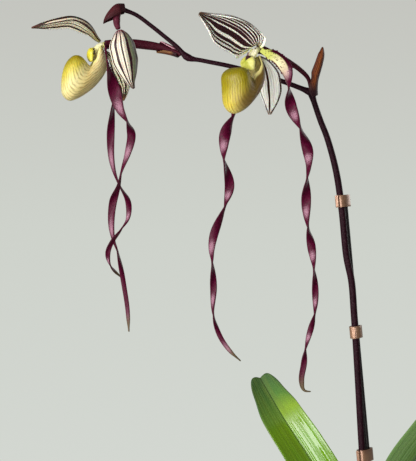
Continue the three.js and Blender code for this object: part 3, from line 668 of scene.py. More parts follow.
@dataclass(frozen=True)
class StripedSepal(Finish):
    """White sepal skin with dark lines that meet at base and tip."""

    slot = "sepal"
    lines: Pairs
    veins: Pairs = ()
    ground: str = "f3eee0"
    shade: str = "b9b39c"
    line: str = "2c0814"
    vein: str = "9a6f78"
    base: str = "b3b552"
    tip: str = "5e4634"
    shaded: Colours = ()
    gather: float = 0.0
    base_end: float = 0.18
    close: float = 1.1

    def make(self) -> Material:
        """Lay the finish.

        Returns:
            The material.
        """
        p = Paint(self.name, specular_ior_level=0.25, subsurface_weight=0.15, subsurface_scale=0.002)
        plain, along = p.uv()
        across = (plain - 0.5) * (along.rise(0.24, 0.0) * self.gather + 1.0) + 0.5
        skin = p.blend(p.streaks(9, 3, 8, 1).rise(0.45, 0.75) * 0.2, self.ground, self.shade)
        # Painted shade: where a shaded band is given, as down the bud's side turned from the light, it is
        # darkened to the shade colour
        if self.shaded:
            skin = p.blend(p.ramp(across, self.shaded), skin, self.shade)
        skin = p.blend(along.rise(self.base_end, 0.0), skin, self.base)
        if self.veins:
            skin = p.blend(across.lines(self.veins, 0.006) * 0.5, skin, self.vein)
        swell = p.streaks(2.5, 1, 5, 1.2) * 0.7 + 0.65 + along.rise(0.72, 1.0) * self.close
        lines = across.lines(self.lines, 0.005, swell)
        skin = p.blend(lines, skin, self.line)
        skin = p.blend(along.rise(0.88, 1.0) * 0.75, skin, self.tip)
        return p.coat(skin, 0.5, p.noise(260, 4) * 0.4 - lines, 0.06)


def both_sides(half: Pairs) -> Pairs:
    """Mirror lines given over the first half of a blade on to its other half."""
    return (*half, *((1 - place, width) for place, width in half if place < 0.5))


@dataclass(frozen=True)
class PetalSkin(Finish):
    """Dark maroon ribbon with a spotted root, painted with a pinkish sheen highlight where its per-vertex
    attribute says so.
    """

    slot = "petal"
    root_end: float
    root: str = "b7bb5e"
    flesh: str = "e0d3a8"
    dark: str = "330014"
    deep: str = "52052a"
    # colour of the painted sheen highlight on the lobes
    pale: str = "c092a4"
    tip: str = "4c4326"

    def make(self) -> Material:
        """Lay the finish.

        Returns:
            The material.
        """
        p = Paint(self.name, specular_ior_level=0.1)
        across, along = p.uv()
        root = along / self.root_end
        cloud, bars = p.streaks(5, 4, 3, 30), p.streaks(6, 3, 1.5, 110)
        # Painted sheen: the lobes turn pinkish where the ribbon's turn would catch the light, with fine
        # cross-striation
        tone = p.add("ShaderNodeAttribute", output="Fac", attribute_name="tone")
        skin = p.blend(cloud.rise(0.35, 0.7), self.dark, self.deep)
        skin = p.blend((tone + bars - 0.5).rise(0.4, 1.05) * 0.85, skin, self.pale)
        skin = p.blend(abs(across - 0.5).rise(0.36, 0.5) * 0.7, skin, self.dark)
        flesh = p.blend(root.rise(0.3, 0.8), self.root, self.flesh)
        for share in (
            p.noise(900).rise(0.56, 0.64) * 0.8,
            across.rise(0.36, 0.26) * root.rise(0.2, 0.35),
            across.rise(0.86, 0.94) * root.rise(0.4, 0.7),
        ):
            flesh = p.blend(share, flesh, self.dark)
        skin = p.blend(root.rise(1.3, 0.6), skin, flesh)
        skin = p.blend(along.rise(0.93, 0.98) * 0.85, skin, self.tip)
        return p.coat(skin, cloud * 0.2 + 0.3, cloud + bars, 0.05)


@dataclass(frozen=True)
class SlipperSkin(Finish):
    """Pouch skin with fine olive veins along it, coloured by stops from back to toe, with one flank painted
    darker brown as shade where asked.
    """

    slot = "lip"
    along: Colours
    vein: str = "5c4a0c"
    strength: float = 0.5
    # colour of the painted shade on one flank
    side: str = "6a4f22"
    painted_shade_flank: float = 0.0
    rim: str = "d2c87e"
    veins: int = 27

    def make(self) -> Material:
        """Lay the finish.

        Returns:
            The material.
        """
        p = Paint(self.name, specular_ior_level=0.3, subsurface_weight=0.06, subsurface_scale=0.0015)
        across, along = p.uv()
        cloud = p.streaks(5, 4, 14, 3)
        skin = p.ramp((cloud - 0.5) * 0.08 + along, self.along)
        # Painted shade: one flank is darkened to the side colour, as on the right pouch's side turned from
        # the light
        skin = p.blend(across.rise(0.5, 0.7) * along.rise(0.78, 0.6) * self.painted_shade_flank, skin, self.side)
        waver = (p.streaks(2, 3, 4, 5) - 0.5) * 0.05
        lines = (across + waver).stripes(self.veins, p.streaks(4, 2, 7, 3) * 0.9 - 0.35, 0.5)
        skin = p.blend(lines * cloud.rise(0.3, 0.6) * self.strength, skin, self.vein)
        rim = abs(across - 0.5).rise(0.43, 0.46) * along.rise(0.62, 0.45)
        skin = p.blend(rim * 0.8, skin, self.rim)
        return p.coat(skin, 0.38, cloud - lines * 0.6, 0.1)


@dataclass(frozen=True)
class ColumnSkin(Finish):
    """Cream and yellow staminode with dark marks, each at a share round and along: spots, and on the left
    flower painted shade in the staminode's hollow.
    """

    slot = "column"
    along: Colours
    marks: Sequence[Point]
    spot_and_shade: str = "35101c"
    bloom: str = "c8c66a"

    def make(self) -> Material:
        """Lay the finish.

        Returns:
            The material.
        """
        p = Paint(self.name, specular_ior_level=0.45)
        across, along = p.uv()
        cloud = p.noise(500, 4)
        skin = p.blend(cloud.rise(0.45, 0.7) * 0.5, p.ramp(along, self.along), self.bloom)
        # Dark patches: on the right staminode its spots, on the left painted shade in its hollow
        for turn, place, size in self.marks:
            aside, ahead = (across - turn) * 1.6, along - place
            away = p.math("SQRT", aside * aside + ahead * ahead)
            skin = p.blend(away.rise(size, size * 0.6), skin, self.spot_and_shade)
        return p.coat(skin, 0.4, cloud, 0.12)


@dataclass(frozen=True)
class StemSkin(Finish):
    """Maroon stem with short pale hairs that catch the light."""

    slot = "stem"
    dark: str = "0c0105"
    light: str = "260513"
    hairs: float = 0.12
    hair: str = "a0707e"

    def make(self) -> Material:
        """Lay the finish.

        Returns:
            The material.
        """
        p = Paint(self.name, specular_ior_level=0.07)
        fuzz = p.noise(2400, 2)
        skin = p.blend(p.noise(260, 4), self.dark, self.light)
        skin = p.blend(fuzz.rise(0.55, 0.7) * self.hairs, skin, self.hair)
        return p.coat(skin, 0.48, fuzz, 0.12)


@dataclass(frozen=True)
class LeafSkin(Finish):
    """Waxy green strap leaf with fine lengthwise veins; its two halves are painted as a shaded and a lit copy
    of one green, and painted shade runs down the midrib groove.
    """

    slot = "leaf"
    name: str = "leaf green"
    haze: float = 0.0
    # painted shade and painted light: the ramps of the two halves, from foot to tip
    shady: Colours = ((0.0, "757e48"), (0.15, "3c5c12"), (0.78, "557609"), (0.9, "35570a"), (1.0, "22400d"))
    sunny: Colours = (
        (0.0, "757e48"), (0.15, "4a6e18"), (0.72, "5f8a0c"), (0.84, "6e8c00"), (0.91, "386208"),
        (1.0, "22440c"),
    )

    def make(self) -> Material:
        """Lay the finish.

        Returns:
            The material.
        """
        p = Paint(self.name, specular_ior_level=0.5)
        across, along = p.uv()
        # Painted light and shade: one half takes the shady ramp, painted darker as shade, and the other the
        # sunny ramp, painted lighter as lit, with a brighter lit zone low on the blade
        skin = p.blend(across.rise(0.49, 0.51), p.ramp(along, self.shady), p.ramp(along, self.sunny))
        # Painted shade: a dark line down the midrib groove, which the relief also sinks
        middle = abs(across - 0.5).rise(0.022, 0.0)
        for share, colour in (
            (p.streaks(3, 3, 3, 2).rise(0.4, 0.7) * 0.35, "5a6a0c"),
            (p.streaks(5, 3, 26, 0.7).rise(0.45, 0.7) * 0.3, "2c4a12"),
            (middle * 0.7, "1f330c"),
            (self.haze, "55704a"),
        ):
            skin = p.blend(share, skin, colour)
        ridge = p.streaks(5, 0, 5, 0.08)
        waxy = ridge.rise(0.44, 0.6) * 0.34 + 0.05
        rough = p.math("MAXIMUM", waxy, along.rise(0.76, 0.84) * 0.75)
        return p.coat(skin, rough, ridge - middle, 0.22)


@dataclass(frozen=True)
class BractSkin(Finish):
    """Papery bract with fine lines, coloured by stops across and darkened at its foot; on the left and
    upright bracts the stops hold painted light and shade.
    """

    slot = "bract"
    across: Colours
    foot: str = "2a0a12"

    def make(self) -> Material:
        """Lay the finish.

        Returns:
            The material.
        """
        p = Paint(self.name, specular_ior_level=0.2)
        across, along = p.uv()
        cloud, lines = p.streaks(4, 4, 9, 1.2), across.stripes(14, 0.12, 0.5)
        # The stops across hold painted highlights and painted shade on the left and upright bracts
        skin = p.ramp(across, self.across)
        for share in (cloud.rise(0.4, 0.65) * 0.5, lines * 0.35, along.rise(0.3, 0.09)):
            skin = p.blend(share, skin, self.foot)
        return p.coat(skin, 0.5, cloud - lines, 0.12)


@dataclass(frozen=True)
class ClipPlastic(Finish):
    """Satin coppery tan plastic."""

    slot = "clip"
    name: str = "clip tan"

    def make(self) -> Material:
        """Lay the finish.

        Returns:
            The material.
        """
        p = Paint(self.name, specular_ior_level=0.6, metallic=0.45, coat_weight=0.3, coat_roughness=0.2)
        scuffs = p.noise(900, 2)
        tan = p.blend(p.noise(150).rise(0.3, 0.7), "845f4a", "9c765c")
        return p.coat(tan, scuffs * 0.15 + 0.25, scuffs, 0.02)


@dataclass(frozen=True)
class StakeFinish(Finish):
    """Dark coated stake."""

    slot = "stake"
    name: str = "stake dark"

    def make(self) -> Material:
        """Lay the finish.

        Returns:
            The material.
        """
        p = Paint(self.name, specular_ior_level=0.3)
        grain = p.streaks(6, 4, 10, 30)
        return p.coat(p.blend(grain, "0c0708", "1d1416"), grain * 0.25 + 0.35, grain, 0.08)


@dataclass(frozen=True)
class Terracotta(Finish):
    """Fired clay: pores, turning lines and pale salt bloom."""

    slot = "terracotta"
    name: str = "terracotta clay"

    def make(self) -> Material:
        """Lay the finish.

        Returns:
            The material.
        """
        p = Paint(self.name, specular_ior_level=0.25)
        cloud, pores = p.noise(22, 5), p.noise(900)
        rings = p.noise(6, 3, p.stretch(p.place("Object"), 1, 1, 60))
        clay = p.blend(cloud.rise(0.3, 0.7), "9a5334", "b86f48")
        clay = p.blend(rings * 0.35, clay, "c98760")
        clay = p.blend(cloud.rise(0.52, 0.72) * p.noise(160, 4).rise(0.4, 0.65) * 0.6, clay, "d9c3b0")
        clay = p.blend(pores.rise(0.62, 0.72) * 0.5, clay, "6f3a25")
        return p.coat(clay, 0.85, rings * 0.8 + pores, 0.25)


@dataclass(frozen=True)
class BarkFinish(Finish):
    """Layered bark, dark between and reddish on its faces."""

    slot = "bark_mix"
    name: str = "bark chips"

    def make(self) -> Material:
        """Lay the finish.

        Returns:
            The material.
        """
        p = Paint(self.name, specular_ior_level=0.2)
        cloud, flakes = p.noise(120, 5), p.noise(700, 4)
        bark = p.ramp(cloud, ((0.25, "2a1a12"), (0.45, "56382a"), (0.6, "7b5238"), (0.8, "9a7350")))
        return p.coat(p.blend(flakes.rise(0.45, 0.65) * 0.5, bark, "3a241a"), 0.9, cloud + flakes, 0.7)


@dataclass(frozen=True)
class RhizomeFinish(Finish):
    """Crown and roots: felted brown skin over green."""

    slot = "rhizome"
    name: str = "rhizome and roots"

    def make(self) -> Material:
        """Lay the finish.

        Returns:
            The material.
        """
        p = Paint(self.name, sheen_weight=0.5, sheen_roughness=0.6, specular_ior_level=0.2)
        felt = p.noise(1600)
        skin = p.blend(p.noise(90, 4).rise(0.35, 0.65), "6a4a2c", "8d7a45")
        return p.coat(p.blend(felt * 0.5, skin, "4a3320"), 0.85, felt, 0.4)


@cache
def material(finish: Finish) -> Material:
    """Return a finish's material, which all its pieces share."""
    return finish.make()


def hand_in(obj: Thing, node: str, *finishes: Finish) -> None:
    """Dress a finished piece and let it stand for its node.

    Args:
        obj: The finished piece.
        node: The node that it replaces.
        finishes: Its finishes, in the order of its mesh's material numbers.
    """
    numbers = [min(face.material_index, len(finishes) - 1) for face in obj.data.polygons]
    obj.data.materials.clear()
    for finish in finishes:
        obj.data.materials.append(material(finish))
    for face, number in zip(obj.data.polygons, numbers):
        face.material_index = number
    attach(obj, BODY)
    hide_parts(node)
    LOG.info("%s stands for %s: %d faces, %s", obj.name, node, len(obj.data.polygons), finishes[0].name)


# The pot and what stands in it

POT_HEIGHT = 105.0
BASE_RADIUS = 42.0
RIM_RADIUS = 61.0
RIM_PROUD = 2.5
FAN_TURN = math.radians(25)
LEAF_START = 100.3


def pot_radius(z: float) -> float:
    """Return the pot's outer radius at a height, below its rim band."""
    return mix(BASE_RADIUS, RIM_RADIUS - RIM_PROUD, z / POT_HEIGHT)


def around(radius: float, turn: float, z: float = 0.0) -> Vector:
    """Return a place round the pot's axis."""
    return Vector((radius * math.cos(turn), radius * math.sin(turn), z))


def resize_top(share: float, z: float) -> None:
    """Widen or narrow what is selected at a height."""
    bpy.ops.transform.resize(value=(share, share, 1), center_override=(0, 0, z * MM))


def drum(name: str, sides: int, radius: float, low: float, high: float) -> Thing:
    """Add a cylinder on the pot's axis between two heights."""
    sizes = {"radius": radius * MM, "depth": (high - low) * MM, "location": (0, 0, (low + high) / 2 * MM)}
    return add("cylinder", name, vertices=sides, **sizes)


@dataclass
class Pot:
    """The clay pot, turned from one cylinder, with drain holes."""

    sides: int = 96
    wall: float = 4.0
    floor: float = 5.0
    band: float = 19.0
    throat: float = 90.0
    holes: int = 6
    hole_radius: float = 2.5
    hole_ring: float = 24.0
    drill: float = 30.0
    edge: float = 1.3

    def build(self) -> None:
        """Turn the pot, drill it and hand it in."""
        obj = self.turned()
        drills = []
        for k in range(self.holes):
            sizes = {"radius": self.hole_radius * MM, "depth": self.drill * MM}
            place = around(self.hole_ring, math.tau * k / self.holes) * MM
            drills.append(add("cylinder", "drill", vertices=24, location=place, **sizes))
        drill = join("drill", drills)
        apply(obj, "BOOLEAN", object=drill, operation="DIFFERENCE", solver="EXACT")
        discard(drill)
        hand_in(shade(dull(obj, self.edge, 3, 35), 40), "pot", Terracotta())

    def turned(self) -> Thing:
        """Turn the profile, step by step, from the base upwards and in again.

        Returns:
            The pot without its holes.
        """
        foot = POT_HEIGHT - self.band
        steps = [(pot_radius(foot) + RIM_PROUD, foot + 0.6), (RIM_RADIUS, POT_HEIGHT)]
        steps += [(pot_radius(z) - self.wall, z) for z in (POT_HEIGHT, self.throat, self.floor)]
        obj = drum("clay_pot", self.sides, BASE_RADIUS, 0, foot)
        radius, height = pot_radius(foot), foot
        with edit(obj, top=True):
            resize_top(radius / BASE_RADIUS, foot)
            for goal, level in steps:
                up = (0, 0, (level - height) * MM)
                bpy.ops.mesh.extrude_region_move(TRANSFORM_OT_translate={"value": up})
                resize_top(goal / radius, level)
                radius, height = goal, level
        return obj


@dataclass
class PottingMix:
    """Bark mix with loose chips on it."""

    low: float = 5.3
    level: float = 92.0
    dome: float = 3.0
    rings: int = 9
    chips: int = 130
    field: float = 49.0
    patterns: int = 6
    wall: float = 4.3
    ragged: float = 0.09
    crown_free: tuple[float, float] = (18.0, 21.0)
    stake_spot: tuple[float, float] = (9.4, 13.8)
    stake_free: float = 9.0

    def build(self) -> None:
        """Make the bed, scatter chips over it and hand both in as one piece."""
        rng = random.Random(7)
        hand_in(join("bark_bed", [self.bed(), *self.scattered(rng)]), "potting_mix", BarkFinish())

    def bed(self) -> Thing:
        """Fill the pot with one domed body of mix.

        Returns:
            The body.
        """
        high = self.level - self.dome
        inner, edge = (pot_radius(z) - self.wall for z in (self.low, high))
        obj = drum("bed", 72, inner, self.low, high)
        rises = [self.dome * (1 - (1 - k / self.rings) ** 2) for k in range(self.rings)]
        with edit(obj, top=True):
            resize_top(edge / inner, high)
            for before, here in pairwise(rises):
                bpy.ops.mesh.inset(thickness=edge / self.rings * MM, depth=0)
                bpy.ops.transform.translate(value=(0, 0, (here - before) * MM))
        return obj

    def chip(self, rng: random.Random) -> Thing:
        """Break one chip off a cube: uneven, with dull edges.

        Args:
            rng: Source of its unevenness.

        Returns:
            A chip at the origin, 1 mm in size.
        """
        obj = add("cube", "chip", size=1 * MM)
        with edit(obj):
            bpy.ops.mesh.subdivide(number_cuts=2)
        for vertex in obj.data.vertices:
            for axis in range(3):
                vertex.co[axis] += rng.uniform(-self.ragged, self.ragged) * MM
            vertex.co.x *= 1 - 0.35 * abs(vertex.co.y) / MM
        return dull(obj, 0.05, 1, 40)

    def scattered(self, rng: random.Random) -> list[Thing]:
        """Lay chips over the bed in a spiral, clear of crown and stake.

        Args:
            rng: Source of their sizes and turns.

        Returns:
            The chips.
        """
        patterns = [self.chip(rng) for _ in range(self.patterns)]
        chips = []
        for k in range(self.chips):
            reach = self.field * math.sqrt((k + 0.5) / self.chips)
            here = around(reach, k * math.pi * (3 - math.sqrt(5)))
            size = (rng.uniform(8, 15), rng.uniform(6, 10), rng.uniform(2.6, 4.6))
            unturned = Matrix.Rotation(-FAN_TURN, 3, "Z") @ here
            from_crown = math.hypot(*(a / free for a, free in zip(unturned, self.crown_free)))
            if from_crown < 1 or math.dist(here.xy, self.stake_spot) < self.stake_free:
                continue
            here.z = self.level - self.dome * (reach / self.field) ** 2 + rng.uniform(-0.6, 1.6)
            place = Matrix.Translation(here * MM)
            for low, high, axis in ((0, math.tau, "Z"), (-0.3, 0.3, "Y"), (-0.25, 0.25, "X")):
                place = place @ Matrix.Rotation(rng.uniform(low, high), 4, axis)
            chips.append(twin(patterns[k % self.patterns], place @ Matrix.Diagonal((*size, 1))))
        discard(*patterns)
        return chips


@dataclass
class Crown:
    """The short rhizome that carries leaves and stem, with four roots over the mix."""

    top: float = 100.0
    bottom: float = 84.0
    long: float = 15.0
    wide: float = 12.0
    girth: Pairs = ((0, 0.6), (0.25, 0.95), (0.8, 1.0), (1, 0.88))
    scar: float = 0.3
    scars: float = 46.0
    root_radius: float = 2.2
    turns: Sequence[float] = (0.6, 2.2, 3.5, 5.1)

    def build(self) -> None:
        """Make the oval crown with worn leaf scars round it, and its roots, and hand them in."""

        def radius(t: float, angle: float) -> float:
            """Find the radius of the oval and its scars.

            Args:
                t: From 0 to 1 along.
                angle: Where it is round.

            Returns:
                The radius in millimetres.
            """
            turn = angle - FAN_TURN
            oval = 1 / math.hypot(math.cos(turn) / self.wide, math.sin(turn) / self.long)
            return between(self.girth, t) * oval + self.scar * math.sin(self.scars * t) * smooth(t, 0.3, 0.5)

        route = Route([(0, 0, z) for z in (self.bottom, (self.bottom + self.top) / 2, self.top)])
        body = tube("crown_body", route, 30, 40, radius)
        roots = [self.root(k, turn) for k, turn in enumerate(self.turns)]
        hand_in(join("rooted_crown", [body, *roots]), "crown", RhizomeFinish())

    def root(self, k: int, turn: float) -> Thing:
        """Lead one root out of the crown and down into the mix.

        Args:
            k: Its number.
            turn: Where it comes out.

        Returns:
            The root.
        """
        reach = 25 + 3 * k
        legs = [(6, 93), (13, 96.5), (reach - 6, 95.5), (reach, 90), (reach + 1, 84)]

        def radius(t: float, angle: float) -> float:
            """Return the uneven radius."""
            return self.root_radius * (1 - 0.2 * t) * (1 + 0.05 * math.sin(31 * t + 2 * angle + k))

        return tube(f"root_{k}", Route([around(r, turn, z) for r, z in legs]), 32, 14, radius)


@dataclass
class Leaf:
    """One strap leaf of the two-ranked fan: a folded sheath that opens into a blade.

    The rank is 1 or -1, the keel is the depth of the fold, the sheath opens between two
    lengths of the leaf, and the blade is turned by so many degrees.
    """

    name: str
    rank: int
    keel: float
    half_width: float
    opens: tuple[float, float]
    turn: float
    route: Sequence[Point]
    finish: LeafSkin = LeafSkin()
    blade: float = 1.0
    blade_half: float = 12.6
    foot_rise: float = 8.0
    lift: float = 5.0
    taper: Pairs = ((0, 1), (0.6, 1), (0.85, 0.91), (1, 0.66))
    tip_part: float = 0.8
    tip_lobe: float = 25.0
    tip_fall: float = 1.3
    tip_notch: float = 2.2

    def build(self) -> None:
        """Bend the leaf to its route and hand it in."""
        foot = self.rank * self.keel
        base = (-foot * math.sin(FAN_TURN), foot * math.cos(FAN_TURN))
        midrib = Route([(*base, LEAF_START), (*base, LEAF_START + self.foot_rise), *self.route])

        def place(s: float, t: float) -> Vector:
            """Find a place on the sheath, the blade, or between them.

            Args:
                s: From -1 to 1 across.
                t: From 0 to 1 along.

            Returns:
                The place in millimetres.
            """
            along = midrib.tangent(t)
            opened = smooth(t * midrib.length, *self.opens)
            side = around(1, mix(FAN_TURN, math.radians(self.turn), smooth(t, 0, 0.7)))
            side = (side - along * side.dot(along)).normalized()
            inward = side.cross(along) * self.rank
            taper = between(self.taper, t)
            bend = s * math.pi / 2
            sheath = (self.half_width * math.sin(bend), self.keel * (1 - math.cos(bend)) + abs(s))
            blade = (self.blade_half * taper * s, self.lift * taper * abs(s) ** 1.3)
            lobe = self.tip_lobe * max(0.0, abs(s) - 0.3) ** 3 + self.tip_fall * smooth(s, 0, 0.3)
            notch = self.tip_notch * max(0.0, 1 - 2.5 * abs(s)) ** 2
            across, up = (mix(a, b, opened) for a, b in zip(sheath, blade))
            tip = smooth(t, self.tip_part, 1) * (lobe + notch)
            return midrib.point(t) + side * across + inward * up - along * tip

        hand_in(thicken(grid(f"strap_{self.name}", 56, 24, place), self.blade), self.name, self.finish)


FAN = [
    Leaf("leaf_left_1", 1, 7, 4.4, (36, 70), -8,
         [(-6.5, 10, 128), (-13.5, 16, 156), (-22.5, 22.5, 178), (-33.5, 29.5, 196.5),
          (-44.5, 36.5, 213), (-60, 45, 239)]),
    Leaf("leaf_left_2", 1, 10, 7.2, (20, 48), 38,
         [(-8, 14, 121), (-22, 32, 144), (-50, 56, 160), (-84, 76, 164), (-118, 92, 152)]),
    Leaf("leaf_left_3", 1, 13, 10, (9, 34), 70,
         [(-12, 19, 116), (-34, 30, 134), (-72, 36, 143), (-108, 37, 134), (-134, 36, 113)]),
    Leaf("leaf_right_1", -1, 5.5, 3, (42, 82), 30,
         [(3.5, -9, 128), (7, -20, 162), (14, -32, 196), (26.5, -47, 219.5), (44, -60, 243), (72, -76, 262)],
         LeafSkin("hazy leaf green", 0.55)),
    Leaf("leaf_right_2", -1, 8.5, 5.8, (26, 56), 50,
         [(8, -14, 122), (26, -34, 149), (58, -56, 168), (94, -70, 168), (126, -80, 151)]),
    Leaf("leaf_right_3", -1, 11.5, 8.6, (13, 40), 75,
         [(11, -17, 114), (36, -33, 134), (76, -42, 145), (112, -43, 135), (138, -42, 113)]),
]


# Flower stem, stake and clips

UPPER_NODE = (-32.4, 8, 398)
MIDDLE_NODE = (-100.5, 8, 417.5)
END_NODE = (-136.4, 3, 443.2)
SCAPE_ROUTE = [
    (0, 0, LEAF_START), (0, 1, 125), (-2, 6.5, 165), (-4.2, 10, 201.7), (-6.7, 10, 246.4),
    (-8.6, 10, 276.7), (-10, 10, 294.4), (-12.7, 10, 307.6), (-15.3, 10, 333.5), (-18.5, 9.5, 354.8),
    (-23.5, 8.5, 373.1), (-27.4, 8, 383), (-31.3, 8, 394.5),
]
RACHIS_ROUTE = [(-34.6, 8, 399), (-49, 8, 404.5), (-74.2, 8, 411.9), (-92, 8, 415.6)]
RACHIS_END_ROUTE = [(-105.7, 7.9, 422.8), (-112.4, 7.2, 428.3), (-120.2, 6, 434.4), (-128.5, 4.3, 440.2)]
STAKE_FOOT = Vector((13.7, 13.8, 40))
STAKE_TOP = Vector((-13.4, 13.8, 341))
STAKE_RADIUS = 1.3
STEM_RADIUS = 1.9


@dataclass
class FlowerStem:
    """Scape and zigzag rachis, swollen at its nodes."""

    girth: Pairs = ((0, STEM_RADIUS), (0.55, STEM_RADIUS), (0.7, 1.6), (0.75, 1.35), (1, 1.1))
    nodes: Sequence[tuple[Point, float]] = ((UPPER_NODE, 0.8), (MIDDLE_NODE, 0.9), (END_NODE, 0.4))
    reach: float = 3.0

    def build(self) -> None:
        """Make the stem and hand it in."""
        route = Route([*SCAPE_ROUTE, UPPER_NODE, *RACHIS_ROUTE, MIDDLE_NODE, *RACHIS_END_ROUTE, END_NODE])

        def radius(t: float, angle: float) -> float:
            """Find the girth with the swelling of near nodes.

            Args:
                t: From 0 to 1 along.
                angle: Where it is round.

            Returns:
                The radius in millimetres.
            """
            here = route.point(t)
            swell = sum(s * bump((Vector(n) - here).length, 0, self.reach) for n, s in self.nodes)
            return between(self.girth, t) + swell + 0.03 * math.cos(5 * angle)

        hand_in(tube("hairy_stem", route, 230, 16, radius, 0), "flower_stem", StemSkin("stem maroon"))


@dataclass
class Stake:
    """The thin dark stake, pushed into the mix at a slight lean."""

    edge: float = 0.6

    def build(self) -> None:
        """Set the stake, dull its ends and hand it in."""
        way = STAKE_TOP - STAKE_FOOT
        middle, turn = (STAKE_FOOT + STAKE_TOP) / 2 * MM, way.to_track_quat("Z", "Y").to_euler()
        sizes = {"radius": STAKE_RADIUS * MM, "depth": way.length * MM}
        obj = add("cylinder", "dark_stake", vertices=24, location=middle, rotation=turn, **sizes)
        hand_in(shade(dull(obj, self.edge, 3, 50), 50), "stake", StakeFinish())


@dataclass
class Clip:
    """A plastic band round stem and stake, its two ends pinched into a tab."""

    name: str
    height: float
    tall: float = 6.6
    wall: float = 0.8
    tab: float = 1.5
    gap: float = 0.3
    closed: float = 0.9
    bend: float = 0.965
    round: float = 0.8
    edge: float = 0.18

    def build(self) -> None:
        """Bend the band round what it holds and hand it in."""
        held = self.crossing(Route([*SCAPE_ROUTE, UPPER_NODE]))
        rod = self.crossing(Route([STAKE_FOOT, (STAKE_FOOT + STAKE_TOP) / 2, STAKE_TOP]))
        up = (STAKE_TOP - STAKE_FOOT).normalized()
        apart = rod - held
        across = (apart - up * apart.dot(up)).normalized()
        side = up.cross(across)
        slack = 2 * self.gap + self.wall / 2
        long = apart.length / 2 + (STEM_RADIUS + STAKE_RADIUS) / 2 + slack

        def place(s: float, t: float) -> Vector:
            """Find a place on the band, or on the tab past its closed part.

            Args:
                s: From -1 to 1 across.
                t: From 0 to 1 along.

            Returns:
                The place in millimetres.
            """
            turn = math.pi * min(1.0, abs(s) / self.closed) * self.bend
            out = max(0.0, (abs(s) - self.closed) / (1 - self.closed))
            ahead = math.copysign(abs(math.cos(turn)) ** self.round, math.cos(turn))
            round_off = (STEM_RADIUS + slack) * math.sin(turn) ** self.round
            x = long * ahead - out * (self.tab + self.wall / 2)
            y = mix(round_off, self.wall * 0.52, smooth(out, 0, 0.6))
            return (held + rod) / 2 + across * x + side * math.copysign(y, s) + up * self.tall * (t - 0.5)

        obj = thicken(grid(f"band_{self.name}", 6, 80, place), self.wall, 0)
        hand_in(shade(dull(obj, self.edge, 2, 60), 50), self.name, ClipPlastic())

    def crossing(self, route: Route) -> Vector:
        """Find where a rising route passes the clip's height.

        Args:
            route: The route.

        Returns:
            The place.
        """
        low, high = 0.0, float(route.spans)
        for _ in range(40):
            middle = (low + high) / 2
            low, high = (middle, high) if route.at(middle).z < self.height else (low, middle)
        return route.at(low)


CLIPS = [Clip("clip_1", 338.5), Clip("clip_2", 266.2), Clip("clip_3", 198.2)]


# Flowers, each in a frame of its own: +X is the way it faces and +Z is up


class Side(Enum):
    """The two open flowers."""

    LEFT = "left"
    RIGHT = "right"


@dataclass(frozen=True)
class Sepal:
    """A sepal along a midrib of forward and up points.

    Its cup is how far its margins rise where it is 10 mm to a side, and its roll is in degrees.
    """

    kind: str
    midrib: Pairs
    widths: Pairs
    cup: float
    roll: float
    skin: StripedSepal


@dataclass(frozen=True)
class Pouch:
    """How a pouch differs from the left flower's.

    It hangs lower by its drop, its width is multiplied by its spread, its front is drawn
    back by its tuck, and its toe is wider. Its ear is how far the back of its rim rises.
    """

    drop: float = 0.0
    spread: float = 1.0
    tuck: float = 0.0
    toe: float = 0.0
    ear: float = 4.2


